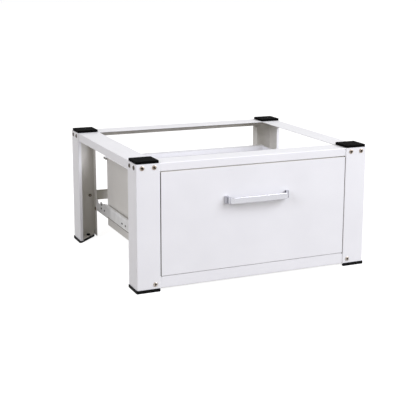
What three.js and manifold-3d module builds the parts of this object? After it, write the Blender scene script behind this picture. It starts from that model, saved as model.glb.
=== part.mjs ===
// Washer pedestal with a drawer: a stand of folded sheet steel that lifts a washing machine on four
// rubber pads, and a sheet-steel drawer that runs out to the front on telescopic ball slides.
//
// Millimetres, +X right, +Y to the back, +Z up. The origin is on the floor, in the middle of the whole
// object. Shapes are drawn about the middle of the stand, and one group moves them back to make room for
// the handle.
import * as THREE from "three";
import { mergeVertices } from "three/addons/utils/BufferGeometryUtils.js";
import Module from "manifold-3d";

// ---- driving dimensions -----------------------------------------------------------------------------

const WIDTH = 630; // over the feet
const DEPTH = 540; // over the feet
const HEIGHT = 320; // floor to the top of the pads
const GAP = 0.3; // left between pieces that touch

const SHEET = 1.5; // folded steel of the stand
const BEND = 2; // outer radius of its bends
const POST = 60; // each flange of a corner post
const FOOT_HEIGHT = 6.5;
const FOOT_PROUD = 2; // the foot caps stand out past the posts
const CAP_SIDE = 60; // each straight side of a foot cap
const CAP_CORNER = 7; // and the short sides at its two sharp corners
const FOOT_PLATE_INSET = 3; // from the cap's diagonal edge
const PLUG = { x: 39, y: 16, radius: 3.7, headRadius: 5.5, headHeight: 4 }; // from the cap's outer faces
const PAD_HEIGHT = 6.4;
const PAD_SIDE = 56.2;
const PAD_INSET = 1.6; // from the posts' outer faces

const RAIL_WIDTH = 60; // top rails: flat top flange
const RAIL_DROP = 20.5; // and outer flange
const SILL_HEIGHT = 29.2; // bottom front rail
const SILL_DEPTH = 20;
const CROSSBAR_BOTTOM = 108.6;
const CROSSBAR_HEIGHT = 28.4;
const CROSSBAR_DEPTH = 6;

const PANEL_GAP = 1.5; // round the drawer front
const PANEL_DEPTH = 12;
const PANEL_SHEET = 1.2;
const PANEL_HEM = 25; // flange folded in round the back of the drawer front

const TUB_SHEET = 1;
const TUB_BACK = 185; // rear wall, behind the middle of the stand
const TUB_BOTTOM = 52.4;
const TUB_TOP = 247;
const SIDE_RIM = 2.5; // rims folded outwards along the sides
const REAR_RIM = 8; // and a wider one along the back, with ends that stand out past the sides
const REAR_RIM_END = 6.5;
const REAR_HEM = 12; // folded inwards from it
const RIM_LIP = 6; // turned down

const HANDLE_REACH = 24; // front of the bar to the drawer front
const HANDLE_LENGTH = 175;
const HANDLE_BAR_LENGTH = 156;
const HANDLE_BAR_HEIGHT = 15;
const HANDLE_FOOT_HEIGHT = 19;
const HANDLE_THICKNESS = 4; // of the grip
const HANDLE_FOOT_THICKNESS = 9;
const HANDLE_Z = 210.5;

const SLIDE_HEIGHT = 35;
const SLIDE_DEPTH = 13;
const SLIDE_Z = 99; // middle of the slides
const SLIDE_SHEET = 1.2;
const BALL_RADIUS = 1.7;
const BALL_CLEARANCE = 0.3;
const CAGE_SHEET = 0.6;
const BALLS = 6; // in each row of a cage
const SLIDE_BACK = 190; // rear end of the middle members
const TRAVEL = 400; // of the drawer
const TAIL_FROM = 150; // the slides' outer members go on as a flat lobed tail

const SCREW_HEAD_RADIUS = 5.7;
const SCREW_HEAD_HEIGHT = 1.9;
const SCREW_SEAT = 0.1; // left under a head
const SCREW_RADIUS = 2.4;
const SCREW_LENGTH = 10;
const SCREW_HOLE_RADIUS = 2.8;
const SLIDE_SCREW_LENGTH = 2.6;
const HANDLE_HOLE_RADIUS = 2.3;
const HANDLE_SCREW = { length: 4.5, radius: 1.9, headRadius: 4 };

// ---- places worked out from them --------------------------------------------------------------------

const postX = WIDTH / 2 - FOOT_PROUD; // outer faces of the posts
const postY = DEPTH / 2 - FOOT_PROUD;
const postBottom = FOOT_HEIGHT + GAP;
const postTop = HEIGHT - PAD_HEIGHT - GAP;
const innerX = postX - SHEET - GAP; // outer faces of what lies inside the posts' flanges
const innerY = postY - SHEET - GAP;
const openingX = postX - POST; // half the width of the drawer's opening
const lipDepth = 8.4; // lip at the free end of a post's side flange
const returnDepth = 27; // flange that carries the slides
const footPlateTop = postBottom + SHEET;
const plugX = WIDTH / 2 - PLUG.x;
const plugY = DEPTH / 2 - PLUG.y;
const railBottom = postTop - RAIL_DROP;
const sillTop = postBottom + SILL_HEIGHT;

const panelX = openingX - PANEL_GAP;
const panelBottom = sillTop + PANEL_GAP;
const panelTop = railBottom - PANEL_GAP;
const panelBack = -postY + PANEL_DEPTH;
const tubX = openingX - GAP - SLIDE_DEPTH - GAP;
const tubFront = panelBack + GAP;
const slideX = openingX - GAP; // outer face of the slides
const slideFront = panelBack + GAP;

const screwZ = postTop - 9.5; // screws of the top rails
const frontScrewX = [45, 15].map((inset) => postX - inset);
const sideScrewY = [45, 15].map((inset) => postY - inset);
const sillScrew = { x: postX - 46, z: 19 };
const crossbarScrew = { x: postX - 47, z: CROSSBAR_BOTTOM + CROSSBAR_HEIGHT / 2 };
const slideScrew = { front: -(postY - 18.5), back: postY - 19.5, z: SLIDE_Z - 13 };
const handleScrewX = (HANDLE_LENGTH - HANDLE_FOOT_THICKNESS) / 2;

// ---- finishes ---------------------------------------------------------------------------------------

function finish(color, roughness, metalness) {
  return new THREE.MeshStandardMaterial({ color, roughness, metalness });
}
const WHITE_POWDER_COAT = finish(0xeeeef3, 0.45, 0);
const ZINC = finish(0xb4b6b8, 0.4, 0.9);
const NICKEL = finish(0xb8aea4, 0.25, 1);
const CHROME = finish(0xd8d8de, 0.15, 1);
const BLACK_RUBBER = finish(0x141414, 0.8, 0);
const BLACK_PLASTIC = finish(0x1a1a1a, 0.6, 0);
const BALL_STEEL = finish(0xc8c8c8, 0.2, 1);

// ---- solids -----------------------------------------------------------------------------------------

const wasm = await Module();
wasm.setup();

// A closed geometry as a solid that can be cut and joined.
function solid(geometry) {
  const bare = geometry.clone();
  bare.deleteAttribute("normal");
  bare.deleteAttribute("uv");
  const merged = mergeVertices(bare, 1e-4);
  const vertProperties = new Float32Array(merged.attributes.position.array);
  const triVerts = new Uint32Array(merged.index.array);
  return new wasm.Manifold(new wasm.Mesh({ numProp: 3, vertProperties, triVerts }));
}

function geometryOf(body) {
  const mesh = body.getMesh();
  const geometry = new THREE.BufferGeometry();
  geometry.setAttribute("position", new THREE.BufferAttribute(mesh.vertProperties, 3));
  geometry.setIndex(new THREE.BufferAttribute(mesh.triVerts, 1));
  geometry.computeVertexNormals();
  return geometry;
}

const join = (bodies) => bodies.reduce((whole, body) => whole.add(body));
const cut = (body, tools) => tools.reduce((left, tool) => left.subtract(tool), body);

// A block between two corners.
function block(x0, x1, y0, y1, z0, z1) {
  const geometry = new THREE.BoxGeometry(x1 - x0, y1 - y0, z1 - z0);
  return solid(geometry.translate((x0 + x1) / 2, (y0 + y1) / 2, (z0 + z1) / 2));
}

// Outlines pushed out along an axis. Along X they are drawn in Y and Z, along Y in X and Z, and along Z in
// X and Y.
const AXES = {
  x: [new THREE.Vector3(0, 1, 0), new THREE.Vector3(0, 0, 1), 1],
  y: [new THREE.Vector3(1, 0, 0), new THREE.Vector3(0, 0, 1), -1],
  z: [new THREE.Vector3(1, 0, 0), new THREE.Vector3(0, 1, 0), 1],
};
function prism(axis, outline, from, to, curveSegments = 4) {
  const [across, up, sense] = AXES[axis];
  const along = new THREE.Vector3().crossVectors(across, up);
  const push = { depth: to - from, bevelEnabled: false, curveSegments };
  const geometry = new THREE.ExtrudeGeometry(outline, push);
  const start = along.clone().multiplyScalar(sense > 0 ? from : -to);
  const place = new THREE.Matrix4().makeBasis(across, up, along).setPosition(start);
  return solid(geometry.applyMatrix4(place));
}

// A round hole or bar along an axis.
function rod(axis, at, radius, from, to, sides = 10) {
  const circle = new THREE.Shape();
  circle.absarc(at[0], at[1], radius, 0, 2 * Math.PI);
  return prism(axis, circle, from, to, sides / 2);
}

// The section of sheet folded along a line that runs through the middle of its thickness.
function foldedSheet(line, thickness, outerRadius, steps = 2) {
  const points = line.map(([x, y]) => new THREE.Vector2(x, y));
  const radius = outerRadius - thickness / 2;
  const left = [];
  const right = [];
  const add = (point, direction) => {
    const side = new THREE.Vector2(-direction.y, direction.x).multiplyScalar(thickness / 2);
    left.push(point.clone().add(side));
    right.unshift(point.clone().sub(side));
  };
  points.forEach((point, i) => {
    const into = i ? point.clone().sub(points[i - 1]).normalize() : null;
    const out = i < points.length - 1 ? points[i + 1].clone().sub(point).normalize() : null;
    if (!into || !out) return add(point, into || out);
    const turn = Math.atan2(into.cross(out), into.dot(out));
    const tangent = radius * Math.tan(Math.abs(turn) / 2);
    const start = point.clone().addScaledVector(into, -tangent);
    const toCentre = new THREE.Vector2(-into.y, into.x).multiplyScalar(Math.sign(turn) * radius);
    const centre = start.clone().add(toCentre);
    for (let k = 0; k <= steps; k++) {
      const angle = (turn * k) / steps;
      add(start.clone().rotateAround(centre, angle), into.clone().rotateAround(new THREE.Vector2(), angle));
    }
  });
  return new THREE.Shape([...left, ...right]);
}

// A skin through rings of points, closed at both ends.
function loft(rings) {
  const count = rings[0].length;
  const position = [];
  const index = [];
  rings.forEach((ring) => ring.forEach((p) => position.push(p.x, p.y, p.z)));
  for (let i = 0; i < rings.length - 1; i++) {
    for (let j = 0; j < count; j++) {
      const a = i * count + j;
      const b = i * count + ((j + 1) % count);
      index.push(a, b, b + count, a, b + count, a + count);
    }
  }
  for (let j = 1; j < count - 1; j++) {
    const last = (rings.length - 1) * count;
    index.push(0, j + 1, j, last, last + j, last + j + 1);
  }
  const geometry = new THREE.BufferGeometry();
  geometry.setAttribute("position", new THREE.Float32BufferAttribute(position, 3));
  geometry.setIndex(index);
  return solid(geometry);
}

// ---- the scene --------------------------------------------------------------------------------------

const pedestal = new THREE.Group();
const stand = new THREE.Group();
stand.position.y = (HANDLE_REACH - FOOT_PROUD) / 2;
pedestal.add(stand);

function piece(name, body, material, parent = stand) {
  const mesh = new THREE.Mesh(geometryOf(body), material);
  mesh.name = name;
  parent.add(mesh);
  return mesh;
}

const SIDES = { left: -1, right: 1 };
const ENDS = { front: -1, rear: 1 };
const CORNERS = Object.keys(ENDS).flatMap((end) => Object.keys(SIDES).map((side) => ({ end, side })));

// Corner pieces are drawn in the rear right corner and mirrored into the others.
function cornerPiece(name, { end, side }, body, material) {
  piece(`${name}_${end}_${side}`, body, material).scale.set(SIDES[side], ENDS[end], 1);
}

// ---- corner posts -----------------------------------------------------------------------------------

// Sheet folded to an open square: side flange with a short lip, end flange with a deep return for the
// slide. A small plate welded in at the bottom takes the foot.
function post(end) {
  const half = SHEET / 2;
  const section = foldedSheet(
    [
      [postX - lipDepth, postY - POST + half],
      [postX - half, postY - POST + half],
      [postX - half, postY - half],
      [postX - POST + half, postY - half],
      [postX - POST + half, postY - returnDepth],
    ],
    SHEET,
    BEND,
  );
  const inside = postY - SHEET - 0.05; // just short of the end flange
  const cuts = [
    // the lips stop below the top rails
    block(openingX - 3, openingX + 3, postY - 30, inside, railBottom - 1, HEIGHT),
    block(postX - 15, postX - SHEET - 0.05, postY - POST - 3, postY - POST + 3, railBottom - 1, HEIGHT),
    ...frontScrewX.map((x) => rod("y", [x, screwZ], SCREW_HOLE_RADIUS, postY - 5, postY + 5)),
    ...sideScrewY.map((y) => rod("x", [y, screwZ], SCREW_HOLE_RADIUS, postX - 5, postX + 5)),
  ];
  const slot = (z0, z1) => block(openingX - 3, openingX + 3, innerY - SHEET - 0.6, inside, z0, z1);
  const slideHole = (y, z) => rod("x", [y, z], SCREW_HOLE_RADIUS, openingX - 5, openingX + 5);
  if (end === "front") {
    cuts.push(slot(0, sillTop + 0.7));
    cuts.push(rod("y", [sillScrew.x, sillScrew.z], SCREW_HOLE_RADIUS, postY - 5, postY + 5));
    cuts.push(slideHole(-slideScrew.front, slideScrew.z));
  } else {
    cuts.push(slot(CROSSBAR_BOTTOM - 0.7, CROSSBAR_BOTTOM + CROSSBAR_HEIGHT + 0.7));
    cuts.push(rod("y", [crossbarScrew.x, crossbarScrew.z], SCREW_HOLE_RADIUS, postY - 5, postY + 5));
    cuts.push(slideHole(slideScrew.back, slideScrew.z));
  }
  const plate = prism("z", footPlate(), postBottom, footPlateTop);
  cuts.push(rod("z", [plugX, plugY], PLUG.radius + GAP, postBottom - 1, footPlateTop + 1, 12));
  return cut(join([prism("z", section, postBottom, postTop), plate]), cuts);
}

// A plate in the corner of the post's two flanges, set back from the foot cap's diagonal edge.
function footPlate() {
  const cornerX = postX - SHEET / 2;
  const cornerY = postY - SHEET / 2;
  const reach = POST - 2 * SHEET; // clear of the return
  const short = CAP_CORNER - FOOT_PLATE_INSET;
  return new THREE.Shape(
    [
      [cornerX, cornerY],
      [postX - reach, cornerY],
      [postX - reach, cornerY - short],
      [cornerX - short, postY - reach],
      [cornerX, postY - reach],
    ].map(([x, y]) => new THREE.Vector2(x, y)),
  );
}
CORNERS.forEach((corner) => cornerPiece("post", corner, post(corner.end), WHITE_POWDER_COAT));

// ---- feet and pads ----------------------------------------------------------------------------------

// A foot cap under the post: a three-cornered sole with a plug that is pushed through the post's foot plate.
function foot() {
  const x = WIDTH / 2;
  const y = DEPTH / 2;
  const edge = 2; // rounding of the outer corner
  const outline = (grow) => {
    const shape = new THREE.Shape();
    shape.moveTo(x + grow, y - CAP_SIDE - grow);
    shape.lineTo(x + grow, y - edge);
    shape.absarc(x - edge, y - edge, edge + grow, 0, Math.PI / 2);
    shape.lineTo(x - CAP_SIDE - grow, y + grow);
    shape.lineTo(x - CAP_SIDE - grow, y - CAP_CORNER);
    shape.lineTo(x - CAP_CORNER, y - CAP_SIDE - grow);
    return shape;
  };
  const headBottom = footPlateTop + GAP;
  return join([
    prism("z", outline(0), 1, FOOT_HEIGHT),
    prism("z", outline(-1), 0, 1.5),
    rod("z", [plugX, plugY], PLUG.radius, FOOT_HEIGHT - 1, headBottom + 1, 12),
    rod("z", [plugX, plugY], PLUG.headRadius, headBottom, headBottom + PLUG.headHeight, 12),
  ]);
}
const footSolid = foot();
CORNERS.forEach((corner) => cornerPiece("foot", corner, footSolid, BLACK_PLASTIC));

// A square rubber pad on each post, where the machine stands.
function pad() {
  const outline = (shrink) => {
    const radius = 2 - shrink;
    const x1 = postX - PAD_INSET - shrink;
    const y1 = postY - PAD_INSET - shrink;
    const x0 = postX - PAD_INSET - PAD_SIDE + shrink;
    const y0 = postY - PAD_INSET - PAD_SIDE + shrink;
    const shape = new THREE.Shape();
    shape.absarc(x1 - radius, y1 - radius, radius, 0, Math.PI / 2);
    shape.absarc(x0 + radius, y1 - radius, radius, Math.PI / 2, Math.PI);
    shape.absarc(x0 + radius, y0 + radius, radius, Math.PI, 1.5 * Math.PI);
    shape.absarc(x1 - radius, y0 + radius, radius, 1.5 * Math.PI, 2 * Math.PI);
    return shape;
  };
  const chamfer = 0.8;
  return join([
    prism("z", outline(0), HEIGHT - PAD_HEIGHT, HEIGHT - chamfer, 3),
    prism("z", outline(chamfer), HEIGHT - 2 * chamfer, HEIGHT, 3),
  ]);
}
const padSolid = pad();
CORNERS.forEach((corner) => cornerPiece("pad", corner, padSolid, BLACK_RUBBER));

// ---- rails ------------------------------------------------------------------------------------------

// Everything outside the diagonal of a corner, so that two rails meet in a mitre.
function mitre(sideX, sideY, forFront) {
  const far = 400;
  const seam = GAP / 2;
  const shape = new THREE.Shape();
  if (forFront) {
    shape.moveTo(sideX * (innerX - seam), sideY * innerY);
    shape.lineTo(sideX * (innerX - seam + far), sideY * (innerY + far));
    shape.lineTo(sideX * (innerX - seam + far), sideY * (innerY - far));
    shape.lineTo(sideX * (innerX - seam - far / 2), sideY * (innerY - far / 2));
  } else {
    shape.moveTo(sideX * innerX, sideY * (innerY - seam));
    shape.lineTo(sideX * (innerX + far), sideY * (innerY - seam + far));
    shape.lineTo(sideX * (innerX - far), sideY * (innerY - seam + far));
    shape.lineTo(sideX * (innerX - far / 2), sideY * (innerY - seam - far / 2));
  }
  return prism("z", shape, 0, 2 * HEIGHT);
}

// Front and rear top rails: an angle, its outer flange screwed inside the posts.
function crossRail(end) {
  const half = SHEET / 2;
  const face = ENDS[end] * innerY;
  const line = [
    [face - ENDS[end] * half, railBottom],
    [face - ENDS[end] * half, postTop - half],
    [face - ENDS[end] * (RAIL_WIDTH - 2), postTop - half],
  ];
  const rail = prism("x", foldedSheet(line, SHEET, BEND), -innerX - SHEET, innerX + SHEET);
  const holes = [-1, 1].flatMap((side) =>
    frontScrewX.map((x) => rod("y", [side * x, screwZ], SCREW_HOLE_RADIUS, face - 4, face + 4)),
  );
  return cut(rail, [...holes, mitre(-1, ENDS[end], true), mitre(1, ENDS[end], true)]);
}
Object.keys(ENDS).forEach((end) => piece(`top_rail_${end}`, crossRail(end), WHITE_POWDER_COAT));

// Side top rails: the same angle, front to back.
function sideRail(side) {
  const half = SHEET / 2;
  const face = SIDES[side] * innerX;
  const line = [
    [face - SIDES[side] * half, railBottom],
    [face - SIDES[side] * half, postTop - half],
    [face - SIDES[side] * (RAIL_WIDTH - 2), postTop - half],
  ];
  const rail = prism("y", foldedSheet(line, SHEET, BEND), -innerY - SHEET, innerY + SHEET);
  const holes = [-1, 1].flatMap((end) =>
    sideScrewY.map((y) => rod("x", [end * y, screwZ], SCREW_HOLE_RADIUS, face - 4, face + 4)),
  );
  return cut(rail, [...holes, mitre(SIDES[side], -1, false), mitre(SIDES[side], 1, false)]);
}
Object.keys(SIDES).forEach((side) => piece(`top_rail_${side}`, sideRail(side), WHITE_POWDER_COAT));

// A channel between two posts: flanges that stop at the posts, and a web that goes on into them as tongues.
function channelRail({ face, sense, bottom, height, depth, tongue, holes }) {
  const half = SHEET / 2;
  const web = face - sense * half;
  const edge = face - sense * depth;
  const section = foldedSheet(
    [
      [edge, bottom + half],
      [web, bottom + half],
      [web, bottom + height - half],
      [edge, bottom + height - half],
    ],
    SHEET,
    BEND,
  );
  const channelEnd = openingX - 3;
  const [y0, y1] = [face, face - sense * SHEET].sort((a, b) => a - b);
  const tongues = block(-tongue, tongue, y0, y1, bottom + BEND, bottom + height - BEND);
  const drilled = holes.map(([x, z]) => rod("y", [x, z], SCREW_HOLE_RADIUS, y0 - 2, y1 + 2));
  return cut(join([prism("x", section, -channelEnd, channelEnd), tongues]), drilled);
}
const bottomRail = channelRail({
  face: -innerY,
  sense: -1,
  bottom: postBottom,
  height: SILL_HEIGHT,
  depth: SILL_DEPTH,
  tongue: sillScrew.x + 14,
  holes: [-sillScrew.x, sillScrew.x].map((x) => [x, sillScrew.z]),
});
piece("bottom_rail_front", bottomRail, WHITE_POWDER_COAT);
const crossbar = channelRail({
  face: innerY,
  sense: 1,
  bottom: CROSSBAR_BOTTOM,
  height: CROSSBAR_HEIGHT,
  depth: CROSSBAR_DEPTH,
  tongue: crossbarScrew.x + 14,
  holes: [-crossbarScrew.x, crossbarScrew.x].map((x) => [x, crossbarScrew.z]),
});
piece("crossbar_rear", crossbar, WHITE_POWDER_COAT);

// ---- screws -----------------------------------------------------------------------------------------

// A pan-head screw along +Z, its head on the plane z = 0.
function screwSolid({ length, radius = SCREW_RADIUS, headRadius = SCREW_HEAD_RADIUS }) {
  const profile = [
    [0, -length],
    [radius * 0.8, -length],
    [radius, -length + 0.6],
    [radius, 0],
    [headRadius, 0],
    [headRadius, SCREW_HEAD_HEIGHT * 0.4],
    [headRadius * 0.72, SCREW_HEAD_HEIGHT * 0.92],
    [0, SCREW_HEAD_HEIGHT],
  ].map(([r, z]) => new THREE.Vector2(r, z));
  return solid(new THREE.LatheGeometry(profile, 10).rotateX(Math.PI / 2));
}
const frameScrew = screwSolid({ length: SCREW_LENGTH });
const slideScrewSolid = screwSolid({ length: SLIDE_SCREW_LENGTH });
const handleScrewSolid = screwSolid(HANDLE_SCREW);

// A screw whose head faces along the given direction.
function screw(name, body, x, y, z, facing, parent = stand) {
  const mesh = piece(name, body, NICKEL, parent);
  mesh.position.set(x, y, z);
  mesh.quaternion.setFromUnitVectors(new THREE.Vector3(0, 0, 1), facing);
}

CORNERS.forEach(({ end, side }) => {
  const sx = SIDES[side];
  const sy = ENDS[end];
  const outY = new THREE.Vector3(0, sy, 0);
  const outX = new THREE.Vector3(sx, 0, 0);
  const seatX = sx * (postX + SCREW_SEAT);
  const seatY = sy * (postY + SCREW_SEAT);
  frontScrewX.forEach((x, i) =>
    screw(`screw_${end}_${side}_${i + 1}`, frameScrew, sx * x, seatY, screwZ, outY),
  );
  sideScrewY.forEach((y, i) =>
    screw(`screw_side_${end}_${side}_${i + 1}`, frameScrew, seatX, sy * y, screwZ, outX),
  );
  const low = end === "front" ? sillScrew : crossbarScrew;
  const lowName = end === "front" ? "screw_bottom_rail" : "screw_crossbar";
  screw(`${lowName}_${side}`, frameScrew, sx * low.x, seatY, low.z, outY);
  // slide screws: heads inside the post, against the back of the return flange
  const x = sx * (openingX + SHEET + SCREW_SEAT);
  const y = end === "front" ? slideScrew.front : slideScrew.back;
  screw(`screw_slide_${end}_${side}`, slideScrewSolid, x, y, slideScrew.z, outX);
});

// ---- telescopic slides ------------------------------------------------------------------------------

// Sections are drawn for the right-hand slide, with the depth measured from its outer face towards the
// drawer and the height from its middle. Three members nest in each other, and two cages of balls roll
// between their races.
const at = ([depth, height]) => [slideX - depth, SLIDE_Z + height];
const mirrorUp = (half) => [...half.map(([d, h]) => [d, -h]).reverse(), ...half];
const t = SLIDE_SHEET / 2;
const outerBallHeight = SLIDE_HEIGHT / 2 - SLIDE_SHEET - BALL_CLEARANCE - BALL_RADIUS;
const ballReach = SLIDE_SHEET / 2 + BALL_CLEARANCE + BALL_RADIUS; // ball centre to middle of a race
const midRace = outerBallHeight - ballReach; // bottom of the middle member's groove
const innerBallHeight = midRace - ballReach;
const innerRace = innerBallHeight - ballReach;
const ballDepth = 8.8;

const outerHalf = [
  [t, SLIDE_HEIGHT / 2 - t],
  [10, SLIDE_HEIGHT / 2 - t],
  [SLIDE_DEPTH - 1.2, outerBallHeight + 0.4],
  [SLIDE_DEPTH - 1.2, outerBallHeight - 1.6],
];
const middleHalf = [
  [3, midRace + 1],
  [ballDepth - 2.2, midRace + 1],
  [ballDepth - 0.6, midRace],
  [ballDepth + 0.6, midRace],
  [ballDepth + 2, midRace + 1],
];
const innerHalf = [
  [SLIDE_DEPTH - t, innerRace],
  [6.4, innerRace],
];
const section = (half, thickness) => foldedSheet(mirrorUp(half).map(at), thickness, thickness * 1.1, 2);

// Outer member: a channel screwed to the posts' returns. Behind the drawer only its web goes on, as a flat
// tail with two low round lobes, a notch, and a tab against the post.
function outerMember() {
  const low = SLIDE_Z - SLIDE_HEIGHT / 2;
  const high = SLIDE_Z + SLIDE_HEIGHT / 2;
  const web = [slideX - SLIDE_SHEET, slideX];
  const channel = prism("y", section(outerHalf, SLIDE_SHEET), slideFront, TAIL_FROM, 3);
  const lobe = 12;
  const shoulder = high - 3.5;
  const notch = high - 10;
  const lift = Math.asin((shoulder - high + lobe) / lobe); // angle at which a lobe meets the shoulder
  const end = postY - 8.5;
  const tail = new THREE.Shape();
  tail.moveTo(TAIL_FROM - 5, low);
  tail.lineTo(end - 6, low);
  tail.absarc(end - 6, low + 6, 6, -Math.PI / 2, 0);
  tail.lineTo(end, high - 5);
  tail.lineTo(end - 3, high - 2.5);
  tail.lineTo(TAIL_FROM + 82, high - 2.5);
  tail.lineTo(TAIL_FROM + 79, notch);
  tail.lineTo(TAIL_FROM + 61.8, notch);
  tail.absarc(TAIL_FROM + 50, high - lobe, lobe, lift / 4, Math.PI - lift);
  tail.absarc(TAIL_FROM + 17, high - lobe, lobe, lift, Math.PI - lift);
  tail.lineTo(TAIL_FROM - 5, shoulder);
  const holes = [TAIL_FROM + 50, TAIL_FROM - 130, TAIL_FROM - 310]
    .flatMap((y) => [y, y - 28])
    .map((y) => rod("x", [y, SLIDE_Z - 2], 2.5, web[0] - 1, web[1] + 1, 8));
  const screwHoles = [slideScrew.front, slideScrew.back].map((y) =>
    rod("x", [y, slideScrew.z], SCREW_HOLE_RADIUS, web[0] - 1, web[1] + 1),
  );
  return cut(join([channel, prism("x", tail, web[0], web[1], 4)]), [...holes, ...screwHoles]);
}

function middleMember() {
  return prism("y", section(middleHalf, SLIDE_SHEET), slideFront + 1, SLIDE_BACK, 3);
}

function innerMember() {
  return prism("y", section(innerHalf, SLIDE_SHEET), slideFront + 1, SLIDE_BACK - 2, 3);
}

// A cage: a thin channel that holds two rows of balls at an even pitch.
function ballCage(webDepth, ballHeight) {
  const half = [
    [webDepth, ballHeight],
    [ballDepth + 1.9, ballHeight],
  ];
  const strip = prism("y", section(half, CAGE_SHEET), cageFront, cageBack, 2);
  const pitch = (cageBack - cageFront) / BALLS;
  const balls = [];
  for (let i = 0; i < BALLS; i++) {
    for (const height of [-ballHeight, ballHeight]) {
      const [x, z] = at([ballDepth, height]);
      const ball = new THREE.SphereGeometry(BALL_RADIUS, 6, 4).rotateX(Math.PI / 2);
      balls.push(solid(ball.translate(x, cageFront + (i + 0.5) * pitch, z)));
    }
  }
  return join([strip, ...balls]);
}

const drawer = new THREE.Group();
stand.add(drawer);
// The cages sit where both members still hold them with the drawer right out.
const cageBack = SLIDE_BACK - TRAVEL / 4 - 2;
const cageFront = cageBack - 210;
const slideParts = [
  ["slide_outer", outerMember(), ZINC, stand],
  ["slide_middle", middleMember(), ZINC, stand],
  ["slide_inner", innerMember(), ZINC, drawer],
  ["ball_cage_outer", ballCage(1.8, outerBallHeight), BALL_STEEL, stand],
  ["ball_cage_inner", ballCage(4.7, innerBallHeight), BALL_STEEL, stand],
];
for (const side of Object.keys(SIDES)) {
  for (const [name, body, material, parent] of slideParts) {
    piece(`${name}_${side}`, body, material, parent).scale.x = SIDES[side];
  }
}

// ---- drawer -----------------------------------------------------------------------------------------

// The front: a shallow tray of sheet with a flange folded in all round its back.
function frontPanel() {
  const s = PANEL_SHEET;
  const hem = PANEL_HEM;
  const tray = block(-panelX, panelX, -postY, panelBack, panelBottom, panelTop);
  const hollow = block(-panelX + s, panelX - s, -postY + s, panelBack - s, panelBottom + s, panelTop - s);
  const hemX = panelX - hem;
  const back = block(-hemX, hemX, panelBack - 2 * s, panelBack + 1, panelBottom + hem, panelTop - hem);
  const holes = [-1, 1].map((side) =>
    rod("y", [side * handleScrewX, HANDLE_Z], HANDLE_HOLE_RADIUS, -postY - 1, -postY + 3),
  );
  return cut(tray, [hollow, back, ...holes]);
}
piece("drawer_front", frontPanel(), WHITE_POWDER_COAT, drawer);

// The tub: four walls and a bottom. Narrow rims are folded outwards along its sides, and a wider one, with a
// hem inside it, along its back.
function tub() {
  const s = TUB_SHEET;
  const corner = 3;
  const box = (grow, z0, z1) => {
    const [x, y0, y1] = [tubX + grow, tubFront - Math.min(grow, 0), TUB_BACK + grow];
    const r = Math.max(corner + grow, 0.5);
    const shape = new THREE.Shape();
    shape.moveTo(-x, y0);
    shape.lineTo(x, y0);
    shape.absarc(x - r, y1 - r, r, 0, Math.PI / 2);
    shape.absarc(-x + r, y1 - r, r, Math.PI / 2, Math.PI);
    return prism("z", shape, z0, z1, 3);
  };
  const sideX = tubX + SIDE_RIM;
  const rearX = tubX + REAR_RIM_END;
  const rimBack = TUB_BACK + REAR_RIM;
  const hemFront = TUB_BACK - s - REAR_HEM;
  const low = TUB_TOP - RIM_LIP;
  const shell = join([
    box(0, TUB_BOTTOM, TUB_TOP),
    block(-sideX, sideX, tubFront, TUB_BACK - 5, low, TUB_TOP),
    block(-rearX, rearX, hemFront, rimBack, low, TUB_TOP),
  ]);
  const under = [
    block(-sideX + s, sideX - s, tubFront - 1, TUB_BACK - 6, low - 1, TUB_TOP - s),
    block(-rearX + s, rearX - s, hemFront - 1, rimBack - s, low - 1, TUB_TOP - s),
  ];
  const inside = box(-s, TUB_BOTTOM + s, TUB_TOP + 1);
  const hemBottom = TUB_TOP - REAR_HEM;
  const hem = block(-tubX, tubX, hemFront, TUB_BACK, hemBottom, TUB_TOP);
  const underHem = block(-tubX - 1, tubX + 1, hemFront + s, TUB_BACK - s, hemBottom - 1, TUB_TOP - s);
  const handleAccess = [-1, 1].map((side) =>
    rod("y", [side * handleScrewX, HANDLE_Z], 6, tubFront - 1, tubFront + s + 1, 12),
  );
  const open = join(under.map((tool) => tool.subtract(box(0, TUB_BOTTOM, TUB_TOP))));
  const walls = cut(shell, [open, inside]);
  return cut(walls.add(hem.subtract(underHem).intersect(box(0, 0, TUB_TOP))), handleAccess);
}
piece("drawer_tub", tub(), WHITE_POWDER_COAT, drawer);

// ---- handle -----------------------------------------------------------------------------------------

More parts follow.
